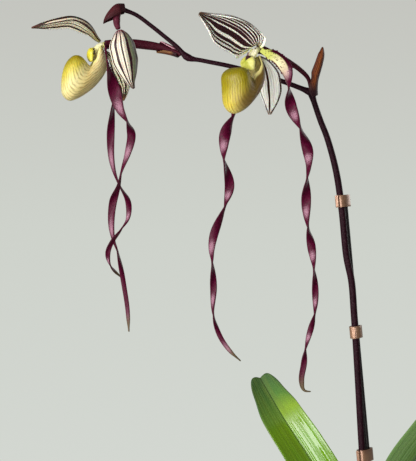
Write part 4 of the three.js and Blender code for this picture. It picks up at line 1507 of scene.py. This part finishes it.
@dataclass
class Flower:
    """One open flower: two sepals, a slipper lip and a column."""

    side: Side
    centre: Point
    facing: float
    sepals: Sequence[Sepal]
    pouch: Pouch
    pouch_skin: SlipperSkin
    column_skin: ColumnSkin
    pouch_inside: SlipperSkin = SlipperSkin(
        "slipper inside", ((0.0, "a8983e"), (0.3, "7a6420"), (1.0, "4e3e10"))
    )
    keel: Pairs = (
        (0.1, -3), (-1.3, -5.5), (-2.2, -8.6), (-1.7, -12.7), (0, -16.3), (2.5, -19.8), (6.2, -23.7),
        (10.3, -26.8), (14.6, -29.3), (18.9, -30.5), (22.2, -27.6), (22.8, -21.3), (21.9, -14.7),
        (20.4, -10.6), (18.6, -8), (16.4, -6.2),
    )
    rim: Pairs = (
        (1, -2.6), (2.1, -4.9), (4, -7.3), (5.6, -9.4), (6.9, -12), (8.3, -11.6), (10.3, -9.4),
        (12.4, -7.3), (14.6, -6.5),
    )
    lip_widths: Pairs = (
        (0, 2.4), (0.08, 4.5), (0.18, 7.2), (0.3, 8.4), (0.5, 9.1), (0.65, 9), (0.8, 8), (0.9, 6.6), (1, 5),
    )
    lip_opening: Pairs = ((0, 2.2), (0.08, 4.3), (0.18, 6.6), (0.3, 6.2), (0.45, 4.4), (0.7, 4), (1, 4.4))
    column_sections: Sequence[tuple[float, float, float, float]] = (
        (-0.5, 0.6, 1.8, 1.7), (1.2, -0.3, 2.2, 2.1), (2.8, -1.4, 2.5, 2.5), (4.1, -2.4, 2.7, 2.4),
        (5.2, -3.8, 3.6, 2.6), (6, -4.8, 4.9, 3.4), (7.2, -5.2, 5.2, 3.6), (8.2, -5.2, 4.2, 2.9),
        (8.9, -5.1, 2, 1.4),
    )
    ridge: float = 0.35
    beak: float = 2.2
    hairs: int = 46
    sepal_blade: float = 0.72
    lip_blade: float = 0.85

    def home(self, local: Sequence[float]) -> Vector:
        """Turn a place in the flower's frame into one in the plant's."""
        return Quaternion((0, 0, 1), math.radians(self.facing)) @ Vector(local) + Vector(self.centre)

    def build(self) -> None:
        """Make the flower's four pieces and hand them in."""
        side = self.side.value
        for sepal in self.sepals:
            hand_in(self.sepal(f"skin_{side}_{sepal.kind}", sepal), f"{side}_{sepal.kind}", sepal.skin)
        hand_in(self.lip(f"skin_{side}_lip"), f"{side}_lip", self.pouch_skin, self.pouch_inside)
        hand_in(self.column(f"skin_{side}_column"), f"{side}_column", self.column_skin)

    def sepal(self, name: str, sepal: Sepal) -> Thing:
        """Cup a sepal's grid about its midrib.

        Args:
            name: The piece's name.
            sepal: Its sizes.

        Returns:
            The sepal with the hairs of its margins.
        """
        path = Route([(forward, 0, up) for forward, up in sepal.midrib])

        def place(s: float, t: float) -> Vector:
            """Find a place on the rolled and ribbed blade.

            Args:
                s: From -1 to 1 across.
                t: From 0 to 1 along.

            Returns:
                The place in millimetres.
            """
            along = path.tangent(t)
            side = Quaternion(along, math.radians(sepal.roll * min(1, 0.3 + 6 * t))) @ Vector((0, 1, 0))
            half = between(sepal.widths, t)
            ribs = 0.12 * math.cos(11 * math.pi * (s + 1)) * smooth(half, 1, 4)
            hollow = along.cross(side) * (sepal.cup * half / 10 * s * s + ribs)
            return self.home(path.point(t) + side * half * math.sin(1.3 * s) / math.sin(1.3) + hollow)

        return join(name, [thicken(grid(name, 60, 44, place), self.sepal_blade), *self.fringe(place)])

    def fringe(self, place: Place) -> list[Thing]:
        """Set short hairs along both margins of a sepal.

        Args:
            place: Gives the sepal's places, in millimetres.

        Returns:
            The hairs, each a slender cone.
        """
        rng = random.Random(self.side.value)
        pattern = add("cone", "hair", vertices=4, radius1=0.09 * MM, radius2=0.02 * MM, depth=MM)
        pattern.data.transform(Matrix.Translation((0, 0, 0.5 * MM)))
        hairs = []
        for edge in (-1.0, 1.0):
            for k in range(self.hairs):
                t = mix(0.04, 0.94, (k + rng.random()) / self.hairs)
                root = place(edge, t)
                out = (root - place(0.9 * edge, t)).normalized()
                lean = (place(edge, t + 0.01) - root).normalized() * rng.uniform(-0.2, 0.9)
                turn = (out + lean).to_track_quat("Z", "Y").to_matrix().to_4x4()
                long = Matrix.Diagonal((1, 1, rng.uniform(0.6, 1.5), 1))
                hairs.append(twin(pattern, Matrix.Translation((root - 0.2 * out) * MM) @ turn @ long))
        discard(pattern)
        return hairs

    def lip(self, name: str) -> Thing:
        """Blow the slipper: ribs run from rim to rim round the keel.

        Args:
            name: The piece's name.

        Returns:
            The pouch as a closed blade.
        """
        keel, rim = (Route([(forward, 0, up) for forward, up in line]) for line in (self.keel, self.rim))
        pouch = self.pouch

        def place(s: float, t: float) -> Vector:
            """Find a place on a rib.

            Args:
                s: From -1 to 1 across.
                t: From 0 to 1 along.

            Returns:
                The place in millimetres.
            """
            hang = pouch.drop * between(((0, 0), (0.3, 1), (0.8, 1), (1, 1.25)), t)
            back = pouch.tuck * between(((0.4, 0), (0.6, 1), (0.78, 0.8), (0.92, -0.7), (1, -0.5)), t)
            half = between(self.lip_widths, t) + pouch.toe * between(((0.7, 0), (0.88, 1), (1, 0.1)), t)
            reach = math.pi - math.asin(min(1.0, between(self.lip_opening, t) / half))
            bottom = keel.point(t) - Vector((back, 0, hang))
            top = rim.point(t) - Vector((0, 0, hang))
            here = bottom.lerp(top, (1 - math.cos(reach * s)) / (1 - math.cos(reach)))
            here.y = pouch.spread * half * math.sin(reach * s)
            here.z += pouch.ear * smooth(t, 0, 0.08) * smooth(t, 0.32, 0.18) * smooth(abs(s), 0.6, 1)
            return self.home(here)

        return thicken(grid(name, 56, 44, place), self.lip_blade)

    def column(self, name: str) -> Thing:
        """Model the column with the staminode shield that it ends in.

        Args:
            name: The piece's name.

        Returns:
            The column.
        """
        rows = Route([(forward, 0, up, wide, high) for forward, up, wide, high in self.column_sections])
        count = 30

        def place(s: float, t: float) -> Vector:
            """Find a place on an oval section, or the pole at an end.

            Args:
                s: From -1 to 1 across.
                t: From 0 to 1 along.

            Returns:
                The place in millimetres.
            """
            row = round(t * count)
            share = min(1.0, max(0.0, (row - 1) / (count - 2)))
            centre = rows.point(share)
            centre.z -= 0.5 * self.pouch.drop * smooth(centre.x, 1, 5)
            if row in (0, count):
                return self.home(centre)
            angle = math.pi * (s + 1)
            ridge = self.ridge * bump(math.cos(angle), 0, 0.25) * smooth(share, 0.4, 0.7)
            ridge += self.beak * bump(angle, 5.4, 0.3) * smooth(share, 0.6, 0.8) * smooth(share, 1, 0.9)
            wide, high = rows.value(share, 3) + ridge, rows.value(share, 4) + ridge
            return self.home(centre + Vector((0, wide * math.cos(angle), high * math.sin(angle))))

        return seal(grid(name, count, 28, place))


SYNSEPAL_WIDTHS: Pairs = ((0, 2), (0.15, 3.8), (0.4, 7.3), (0.6, 7.6), (0.8, 5), (0.94, 2), (1, 0.8))
LEFT_FLOWER = Flower(
    Side.LEFT, (-147.5, 16, 424.8), 194,
    (
        Sepal(
            "dorsal_sepal",
            ((1.2, 2.5), (3.3, 4.9), (5.9, 8.9), (9.3, 12.2), (13.6, 14.3), (18.6, 15.2), (27.5, 13.4),
             (33.5, 11.4), (39.7, 8.7)),
            ((0, 2), (0.12, 4.8), (0.28, 9.4), (0.42, 9.8), (0.6, 9.3), (0.8, 6.7), (0.93, 2.7), (1, 0.8)),
            -4.1,
            4,
            StripedSepal(
                "left dorsal stripes",
                ((0.08, 0.034), (0.2, 0.024), (0.39, 0.045), (0.5, 0.03), (0.6, 0.03), (0.7, 0.03),
                 (0.8, 0.1), (0.985, 0.024)),
                ((0.14, 0.014), (0.29, 0.024), (0.925, 0.026)),
                ground="ece4cc", base="6e6a32", base_end=0.5, line="2a120c", vein="8a6a48", tip="5a2c1c",
            ),
        ),
        Sepal(
            "synsepal",
            ((-1.8, -2.8), (-5.9, -5.8), (-10.4, -11.2), (-13.5, -16.8), (-14.6, -21.2), (-13.6, -26),
             (-11.6, -30.3)),
            SYNSEPAL_WIDTHS,
            6,
            -3,
            StripedSepal(
                "left synsepal stripes",
                both_sides(((0.035, 0.035), (0.155, 0.03), (0.3, 0.035), (0.5, 0.04))),
                ground="fdf6d8", base="c9cc9a", line="33170f", tip="7a5a34",
            ),
        ),
    ),
    Pouch(),
    SlipperSkin(
        "left slipper",
        ((0.0, "ddd4a4"), (0.25, "c9b985"), (0.5, "b8a268"), (0.66, "cfc286"), (0.8, "bdad3c"),
         (0.92, "91810a"), (1.0, "7d7008")),
        vein="6f5c22", strength=0.65,
    ),
    ColumnSkin(
        "left staminode",
        ((0.0, "a9a84a"), (0.2, "e9e2c4"), (0.55, "e6dea0"), (0.72, "d3c53a"), (1.0, "c2b422")),
        # painted shade: dark patches round the near side, where the staminode's hollow lies in shade
        ((0.0, 0.66, 0.12), (1.0, 0.66, 0.12), (0.88, 0.66, 0.12), (0.12, 0.66, 0.1)),
    ),
)
RIGHT_FLOWER = Flower(
    Side.RIGHT, (-63.1, -19, 417.4), 223,
    (
        Sepal(
            "dorsal_sepal",
            ((1.4, 2.6), (4.4, 4.6), (8.8, 7.3), (14.6, 10.1), (21.8, 12.2), (30, 14), (36.1, 14.8),
             (41.6, 15.7)),
            ((0, 4.4), (0.05, 8.2), (0.12, 9.6), (0.28, 9.8), (0.42, 10.1), (0.6, 9.4), (0.8, 5.2),
             (0.93, 2.2), (1, 0.8)),
            -7.8,
            36,
            StripedSepal(
                "right dorsal stripes",
                ((0.04, 0.022), (0.125, 0.022), (0.208, 0.036), (0.36, 0.058), (0.485, 0.034), (0.56, 0.026),
                 (0.635, 0.028), (0.72, 0.03), (0.81, 0.034), (0.895, 0.022), (0.965, 0.03)),
                ((0.52, 0.014), (0.585, 0.01)),
                ground="fbf7ec", base="d8d88a", tip="4a3420", gather=0.25, base_end=0.06, close=0.3,
            ),
        ),
        Sepal(
            "synsepal",
            ((-1.2, -2.8), (-5.6, -5), (-9.6, -10.7), (-11.4, -19.2), (-11.3, -26.6), (-9.6, -33.2)),
            SYNSEPAL_WIDTHS,
            2.1,
            -4,
            StripedSepal(
                "right synsepal stripes",
                ((0.06, 0.034), (0.4, 0.04), (0.95, 0.07)),
                ((0.2, 0.01), (0.3, 0.01), (0.5, 0.01), (0.58, 0.014), (0.68, 0.01), (0.8, 0.016)),
                ground="fdfbf4", base="d4d6c0", line="33150f", vein="8d8a74", tip="5a3a20",
            ),
        ),
    ),
    Pouch(drop=3.4, spread=0.92, tuck=1.6, toe=1.5, ear=0.6),
    SlipperSkin(
        "right slipper",
        ((0.0, "cbbf68"), (0.22, "a8904a"), (0.42, "9a7e40"), (0.54, "c0b070"), (0.66, "bca83a"),
         (0.8, "8c7e04"), (1.0, "6a6002")),
        # one flank is painted darker brown as shade
        strength=0.55, painted_shade_flank=0.9,
    ),
    ColumnSkin(
        "right staminode",
        ((0.0, "a9a84a"), (0.25, "ece5cc"), (0.6, "e2dcb0"), (0.8, "cfc982"), (0.92, "b5b24a"),
         (1.0, "8f9420")),
        ((0.2, 0.89, 0.12), (0.2, 0.28, 0.06), (0.1, 0.7, 0.06), (0.03, 0.76, 0.05)),
    ),
)


@dataclass
class Petal:
    """A ribbon that arches out of its flower and winds as it hangs.

    Each station is x, y, z, quarter turns and width; at an even quarter the ribbon lies
    flat to the front.
    """

    name: str
    flower: Flower
    hand: int
    route: Sequence[tuple[float, float, float, float, float]]
    root_end: float = 0.02
    roots: Sequence[Point] = ((0, 2.9, 0.6), (-0.3, 5.2, -1.2))
    root_width: float = 3.0
    cup: float = 0.12
    painted_sheen_strength: float = 0.74
    warts: int = 8
    blade: float = 0.7

    def build(self) -> None:
        """Wind the ribbon, set its warts and hand it in."""
        to_front = self.flower.facing / 90 - 3
        roots = [self.flower.home((x, self.hand * y, z)) for x, y, z in self.roots]
        path = Route([*((*root, -to_front, self.root_width) for root in roots), *self.route])
        facing = self.flower.home((1, 0, 0)) - self.flower.home((0, 0, 0))

        def place(s: float, t: float) -> Vector:
            """Find a place on the turned and cupped ribbon.

            Args:
                s: From -1 to 1 across.
                t: From 0 to 1 along.

            Returns:
                The place in millimetres.
            """
            along = path.tangent(t)
            turn = Quaternion(along, (path.value(t, 3) + to_front) * math.pi / 2)
            side = turn @ along.cross(facing).normalized()
            width = path.value(t, 4) * mix(0.3, 1, smooth(t, 1, 0.955))
            cup = self.cup * width * (s * s - 0.4) * smooth(t, 0.02, 0.1)
            return path.point(t) + side * s * width / 2 + along.cross(side) * cup

        obj = grid(f"ribbon_{self.name}", round(path.length), 10, place)
        # Painted sheen highlight: a share set by the ribbon's turn, strongest low on each lobe and towards
        # its middle, where the lobes are painted pinkish as if lit
        tone = obj.data.attributes.new("tone", "FLOAT", "POINT").data
        for loop, point in zip(obj.data.loops, obj.data.uv_layers.active.data):
            across, t = point.uv
            share = path.value(t, 3) / 2 - 0.24
            pale = 0.5 + 0.5 * math.cos(math.tau * share)
            tone[loop.vertex_index].value = self.painted_sheen_strength * pale**2.5 * (1 - 1.6 * (across - 0.5) ** 2)
        obj = join(obj.name, [thicken(obj, self.blade), *self.warty(place)])
        hand_in(obj, self.name, PetalSkin(f"{self.name.replace('_', ' ')} skin", self.root_end))

    def warty(self, place: Place) -> list[Thing]:
        """Set dark warts on both margins near the petal's root.

        Args:
            place: Gives the ribbon's places, in millimetres.

        Returns:
            The warts, each a small ball.
        """
        rng = random.Random(self.name)
        pattern = add("uv_sphere", "wart", segments=10, ring_count=7, radius=MM)
        pattern.data.shade_smooth()
        balls = []
        for edge in (-0.97, 0.97):
            for k in range(self.warts):
                spot = Matrix.Translation(place(edge, 0.02 + 0.012 * (k + rng.random())) * MM)
                size = rng.uniform(0.4, 0.62)
                balls.append(twin(pattern, spot @ Matrix.Diagonal((size, size, size, 1))))
        discard(pattern)
        return balls


PETALS = [
    Petal("left_petal_near", LEFT_FLOWER, 1, [
        (-144.9, 8.3, 417.7, 0.95, 3.2), (-143.4, 7.2, 409.3, 1.3, 5), (-140.4, 6.5, 398.8, 2, 7.2),
        (-137.2, 6, 388.9, 2.5, 6.6), (-133.3, 6, 382, 3, 5.6), (-131.1, 6, 374.6, 3.9, 4.8),
        (-133.5, 8, 364.3, 4.5, 4.6), (-136.3, 9.5, 356.7, 4.85, 4.5), (-138.6, 12, 347.6, 5.25, 4.4),
        (-142, 17, 337.8, 6, 4.4), (-142.8, 16.5, 325.8, 6.35, 4.1), (-141.3, 15, 316.7, 6.75, 3.7),
        (-139.3, 14, 310.9, 7, 3.4), (-137.2, 11.5, 301.5, 7.6, 2.9), (-135.6, 10.5, 292.7, 8, 2.6),
        (-133.6, 10, 280, 8.2, 2.5), (-132.6, 10, 266.3, 8.4, 2),
    ]),
    Petal("left_petal_far", LEFT_FLOWER, -1, [
        (-145.9, 23, 417.3, 1, 3.4), (-144.6, 25, 407.4, 1, 3.6), (-142.3, 25, 397.3, 1, 3.8),
        (-142.8, 23, 388.7, 1.3, 4.2), (-143.6, 21.5, 375.1, 2, 4.4), (-142.6, 20, 360.5, 2.5, 4.1),
        (-139, 19, 348.6, 3, 3.6), (-133.5, 14.5, 338.6, 3.75, 3.3), (-133.4, 12, 329.1, 4.5, 3.1),
        (-137.1, 10.5, 322.7, 5, 3), (-142, 9, 315.9, 5.5, 2.9), (-144.3, 9.5, 309.7, 6, 2.8),
        (-143.1, 13.5, 302.6, 6.8, 2.3), (-137.2, 19, 295.5, 7.5, 1.6),
    ]),
    Petal("right_petal_near", RIGHT_FLOWER, 1, [
        (-56, -26, 414.7, 0.15, 6.2), (-52.5, -29.5, 412.1, 0, 7), (-49.7, -31.5, 408.7, 0.12, 6.9),
        (-47.9, -32.9, 404.6, 0.45, 6.8), (-47.1, -34.2, 396.7, 1, 6.4), (-46.2, -35.2, 386.8, 2, 6.1),
        (-41.5, -36, 376.1, 3, 6), (-37.7, -37, 364.5, 4, 5.7), (-37.2, -37.5, 357.1, 4.65, 5.5),
        (-37.8, -38, 350.3, 5, 5.3), (-38.5, -39, 338.2, 6, 5.1), (-37.6, -40, 324.4, 7, 4.7),
        (-36, -41, 314.5, 8, 4.4), (-34.8, -42, 302.7, 9, 4), (-34.1, -43, 290.7, 10, 3.4),
        (-34.4, -44, 279.7, 11, 3.2), (-36.5, -45, 272.1, 12, 3), (-39.3, -46, 262.1, 13, 2.9),
        (-40.2, -46.8, 254.2, 14, 3.1), (-41.5, -47.5, 246.1, 14.2, 2.8), (-40.3, -48.2, 240.9, 14.3, 2.3),
        (-36.8, -49, 240.3, 14.5, 1.4),
    ], root_end=0.115),
    Petal("right_petal_far", RIGHT_FLOWER, -1, [
        (-69, -11.5, 412.2, 0.8, 5), (-72.2, -9, 403.1, 1.3, 6), (-73.3, -11, 392.2, 2.2, 6.2),
        (-75.8, -14, 382.4, 3, 6.2), (-80, -17, 373.3, 4, 6.2), (-80.9, -18.2, 365.5, 4.55, 6),
        (-80.7, -19, 360, 5, 5.7), (-77.7, -20, 345.8, 6, 5.2), (-80.1, -21, 334.8, 7, 4.8),
        (-85.8, -22.3, 320.6, 8, 4.6), (-87.3, -23, 312.5, 8.5, 4.3), (-86.9, -23.5, 305.5, 9, 4),
        (-86.2, -24.3, 292.5, 10, 3.6), (-86.2, -25.3, 277.6, 11, 2.9), (-83, -26, 267.1, 12, 2.5),
        (-77.6, -27, 259.1, 12.5, 2.4), (-71.9, -28, 253.8, 13, 2.1),
    ]),
]


# Ovaries, bud and bracts


@dataclass
class Ovary:
    """A ribbed ovary, which is also its flower's stalk."""

    name: str
    flower: Flower
    points: Sequence[Point]
    radii: Pairs
    ridge: float = 0.05

    def route(self) -> Route:
        """Return the centre line, on to the flower's own centre."""
        return Route([*self.points, self.flower.home((-3.5, 0, 1)), self.flower.home((-0.9, 0, 0.8))])

    def build(self) -> None:
        """Make the ovary and hand it in."""

        def radius(t: float, angle: float) -> float:
            """Return the radius of the five ribs."""
            return between(self.radii, t) * (1 + self.ridge * math.cos(5 * angle))

        obj = tube(f"ribbed_{self.name}", self.route(), 60, 30, radius)
        hand_in(obj, self.name, StemSkin(f"{self.name.replace('_', ' ')} skin", "26040c", "4c0c20"))


LEFT_OVARY = Ovary(
    "left_ovary",
    LEFT_FLOWER,
    ((-104, 10.4, 419.3), (-109, 13, 421.6), (-115.8, 15.5, 424), (-123.6, 17.3, 425.5),
     (-131.5, 18, 426.4), (-142.6, 17.5, 426)),
    ((0, 1.05), (0.12, 1.3), (0.3, 2.1), (0.5, 2.5), (0.9, 2.6), (1, 2.4)),
)
RIGHT_OVARY = Ovary(
    "right_ovary",
    RIGHT_FLOWER,
    ((-32.8, 6.4, 400.4), (-34.2, 4.2, 405.2), (-39.4, -2.2, 409.6), (-45.5, -8.5, 412.6),
     (-52.8, -13.5, 415.1)),
    ((0, 1), (0.2, 1.2), (0.45, 1.4), (0.7, 2.2), (1, 2.4)),
)


@dataclass
class Bud:
    """The hanging striped bud on its short stalk."""

    route: Sequence[Point] = (
        (-137.2, -0.5, 431.2), (-136.2, -0.8, 425.7), (-135.7, -1, 421.4), (-134.7, -1, 417),
        (-133.7, -1, 412.7), (-132.3, -1, 407.3), (-131, -1, 402.6), (-129.3, -1, 399.3),
    )
    radii: Pairs = ((0, 1.5), (0.1, 4.4), (0.3, 7), (0.5, 7), (0.7, 5.2), (0.88, 2.5), (1, 0.6))
    stalk: Sequence[Point] = (
        (-137.2, 2.3, 441.7), (-138.7, 0.9, 438.3), (-138.7, 0.1, 434.6), (-137.8, -0.3, 431.7),
    )
    stalk_radii: Pairs = ((0, 0.9), (0.5, 2.05), (1, 1.3))
    skin: StripedSepal = StripedSepal(
        "bud stripes",
        ((0.045, 0.024), (0.168, 0.02), (0.25, 0.011), (0.326, 0.018), (0.42, 0.012), (0.48, 0.014),
         (0.55, 0.014), (0.63, 0.012), (0.7, 0.016), (0.78, 0.012), (0.86, 0.016), (0.94, 0.012)),
        ((0.215, 0.006), (0.29, 0.008), (0.37, 0.006), (0.395, 0.005)),
        # painted shade: the shade colour and shaded band darken the bud's side that is turned from the light
        ground="dcd5be", base="6d2038", shade="6c7056", tip="3a2018",
        shaded=((0.0, "000000"), (0.055, "ffffff"), (0.145, "ffffff"), (0.17, "000000")),
    )

    def build(self) -> None:
        """Make bud and stalk and hand them in."""

        def swell(t: float, angle: float) -> float:
            """Return the radius of the bud's ribs."""
            return between(self.radii, t) * (1 + 0.035 * math.cos(9 * angle))

        def thin(t: float, angle: float) -> float:
            """Return the radius of the stalk."""
            return between(self.stalk_radii, t)

        hand_in(tube("striped_bud", Route(self.route), 60, 54, swell), "bud", self.skin)
        stalk = tube("bud_foot", Route(self.stalk), 20, 16, thin)
        hand_in(stalk, "bud_stalk", StemSkin("bud stalk skin", light="6a2438", hairs=0.3))


@dataclass
class Bract:
    """A papery bract, rolled about a line beside its keel and open towards a direction."""

    name: str
    keel: Sequence[Point]
    radius: Pairs
    wrap: Pairs
    opening: Point
    finish: BractSkin
    blade: float = 0.64

    def build(self) -> None:
        """Roll the bract and hand it in."""
        path, opening = Route(self.keel), Vector(self.opening)

        def place(s: float, t: float) -> Vector:
            """Find a place on the rolled blade.

            Args:
                s: From -1 to 1 across.
                t: From 0 to 1 along.

            Returns:
                The place in millimetres.
            """
            along = path.tangent(t)
            inward = (opening - along * opening.dot(along)).normalized()
            side = inward.cross(along)
            r, angle = between(self.radius, t), s * between(self.wrap, t)
            return path.point(t) + side * r * math.sin(angle) + inward * r * (1 - math.cos(angle))

        hand_in(thicken(grid(f"papery_{self.name}", 36, 24, place), self.blade), self.name, self.finish)


def clasp(name: str, ovary: Ovary, finish: BractSkin) -> Bract:
    """Fit a bract round an ovary's foot.

    Args:
        name: The node's name.
        ovary: The ovary that it clasps.
        finish: Its skin.

    Returns:
        The bract.
    """
    path, opening = ovary.route(), Vector((0, -0.97, 0.1))
    radius, keel = [], []
    for stop in (0, 0.25, 0.5, 0.75, 1):
        at = mix(0.03, 0.36, stop)
        along = path.tangent(at)
        out = (opening - along * opening.dot(along)).normalized()
        radius.append((stop, between(ovary.radii, at) * (1 + ovary.ridge) + 0.94))
        keel.append(path.point(at) - out * radius[-1][1])
    return Bract(name, keel, radius, ((0, 2.8), (0.4, 2.6), (0.8, 1.9), (1, 0.5)), tuple(opening), finish)


BRACTS = [
    # painted highlight: the tan stops along the bract's top edge; the pink margin is its own colour
    clasp("bract_left", LEFT_OVARY, BractSkin("left bract", (
        (0.0, "d9a3ae"), (0.06, "7a2f42"), (0.3, "5a2030"), (0.6, "47170f"), (0.9, "6b3a22"), (1.0, "a8784a"),
    ))),
    Bract(
        "bract_upright",
        ((-28.9, 7.9, 396.6), (-29.1, 6.6, 401), (-28.7, 6.5, 405), (-27.9, 6.7, 408), (-26.4, 6.9, 413.3),
         (-25.4, 7, 418.8), (-26, 7.1, 423)),
        ((0, 3.2), (0.18, 3.8), (0.4, 3.4), (0.84, 2.7), (1, 1.9)),
        ((0, 1.5), (0.15, 1.85), (0.3, 1.6), (0.43, 1.9), (0.84, 1.8), (0.95, 1.3), (1, 0.7)),
        (-1, 0.09, 0),
        # painted light and shade: an orange-brown lit strip, then the side turned from the light painted
        # near-black
        BractSkin("upright bract", (
            (0.0, "3a140c"), (0.1, "7a3c1c"), (0.22, "a05626"), (0.33, "54200f"), (0.44, "240a0c"),
            (1.0, "3a140e"),
        )),
    ),
    Bract(
        "bract_end",
        ((-134.9, 3, 445.8), (-139.3, 2.2, 445.4), (-143.1, 1.2, 441.6), (-145.3, 0.4, 437.6),
         (-145.9, -0.2, 434.8)),
        ((0, 2.9), (0.3, 3.7), (0.7, 3.2), (1, 2)),
        ((0, 2.2), (0.3, 2.3), (0.6, 2), (0.9, 1.2), (1, 0.3)),
        (0.7, 0, -0.7),
        BractSkin("end bract", ((0.0, "30050c"), (0.5, "500c15"), (1.0, "30050c")), foot="22050b"),
    ),
]


# The studio


@dataclass
class Studio:
    """Pale floor, soft light and the camera at the photograph's angle, in metres."""

    eye: Point = (-0.0891, -0.742, 0.3222)
    aim: Point = (-0.0891, 0.0, 0.32)
    half_view: float = 0.16903
    wall: Colours = ((0.0, "d3d7d1"), (0.5, "ced2cb"), (1.0, "c4c5bf"))
    wash: float = 0.35
    lamps: Sequence[tuple[str, Point, float, float, float]] = (
        ("window", (-1.1, -0.8, 0.62), 0.7, 1.1, 25.0),
        ("table bounce", (-0.3, -1.25, 0.05), 0.8, 0.8, 14.0),
        ("room", (0.9, 0.9, 0.8), 0.9, 0.9, 6.0),
    )

    def build(self) -> None:
        """Lay the floor, and set sky, lamps and camera."""
        disc = add("circle", "studio_floor", vertices=96, radius=1.0, fill_type="NGON")
        p = Paint("floor paint", specular_ior_level=0.1)
        disc.data.materials.append(p.coat(p.blend(p.noise(4, 2), "d3d7d1", "cfd3cd"), 0.9))
        self.sky()
        for lamp in self.lamps:
            self.lamp(*lamp)
        self.camera()
        bpy.context.scene.view_settings.view_transform = "Standard"

    def sky(self) -> None:
        """Show a pale wall that darkens upwards, and light the room with a weaker wash of it."""
        world = bpy.data.worlds.new("studio")
        bpy.context.scene.world = world
        world.use_nodes = True
        n = Nodes(world.node_tree)
        height = n.add("ShaderNodeSeparateXYZ", [n.place("Generated")], 2)
        share = n.add("ShaderNodeMapRange", (height, -0.17, 0.17))
        seen = n.add("ShaderNodeLightPath", output="Is Camera Ray")
        strength = n.add("ShaderNodeMapRange", (seen, 0.0, 1.0, self.wash, 1.0))
        light = world.node_tree.nodes["Background"]
        n.feed(light.inputs["Color"], n.ramp(share, self.wall))
        n.feed(light.inputs["Strength"], strength)

    def lamp(self, name: str, place: Point, wide: float, high: float, power: float) -> None:
        """Hang a soft lamp that faces the flowers.

        Args:
            name: The lamp's name.
            place: Where it hangs.
            wide: Its width.
            high: Its height.
            power: Its power in watts.
        """
        turn = (Vector(self.aim) - Vector(place)).to_track_quat("-Z", "Y").to_euler()
        bpy.ops.object.light_add(type="AREA", location=place, rotation=turn)
        lamp = bpy.context.object
        lamp.name = f"studio {name}"
        lamp.data.shape = "RECTANGLE"
        lamp.data.size, lamp.data.size_y, lamp.data.energy = wide, high, power

    def camera(self) -> None:
        """Place the level camera."""
        bpy.ops.object.camera_add(location=self.eye, rotation=(math.pi / 2, 0, 0))
        camera = bpy.context.object
        camera.name = "studio_camera"
        camera.data.sensor_fit = "VERTICAL"
        camera.data.sensor_height = 36
        camera.data.lens = 18 / self.half_view
        camera.data.clip_start = 0.01
        bpy.context.scene.camera = camera


def main() -> None:
    """Build every part of the plant, then the studio."""
    logging.basicConfig(level=logging.INFO, format="%(name)s: %(message)s")
    parts = [Pot(), PottingMix(), Crown(), *FAN, FlowerStem(), Stake(), *CLIPS, LEFT_FLOWER, RIGHT_FLOWER]
    parts += [*PETALS, LEFT_OVARY, RIGHT_OVARY, Bud(), *BRACTS]
    for part in parts:
        part.build()
    Studio().build()


if __name__ == "__main__":
    main()
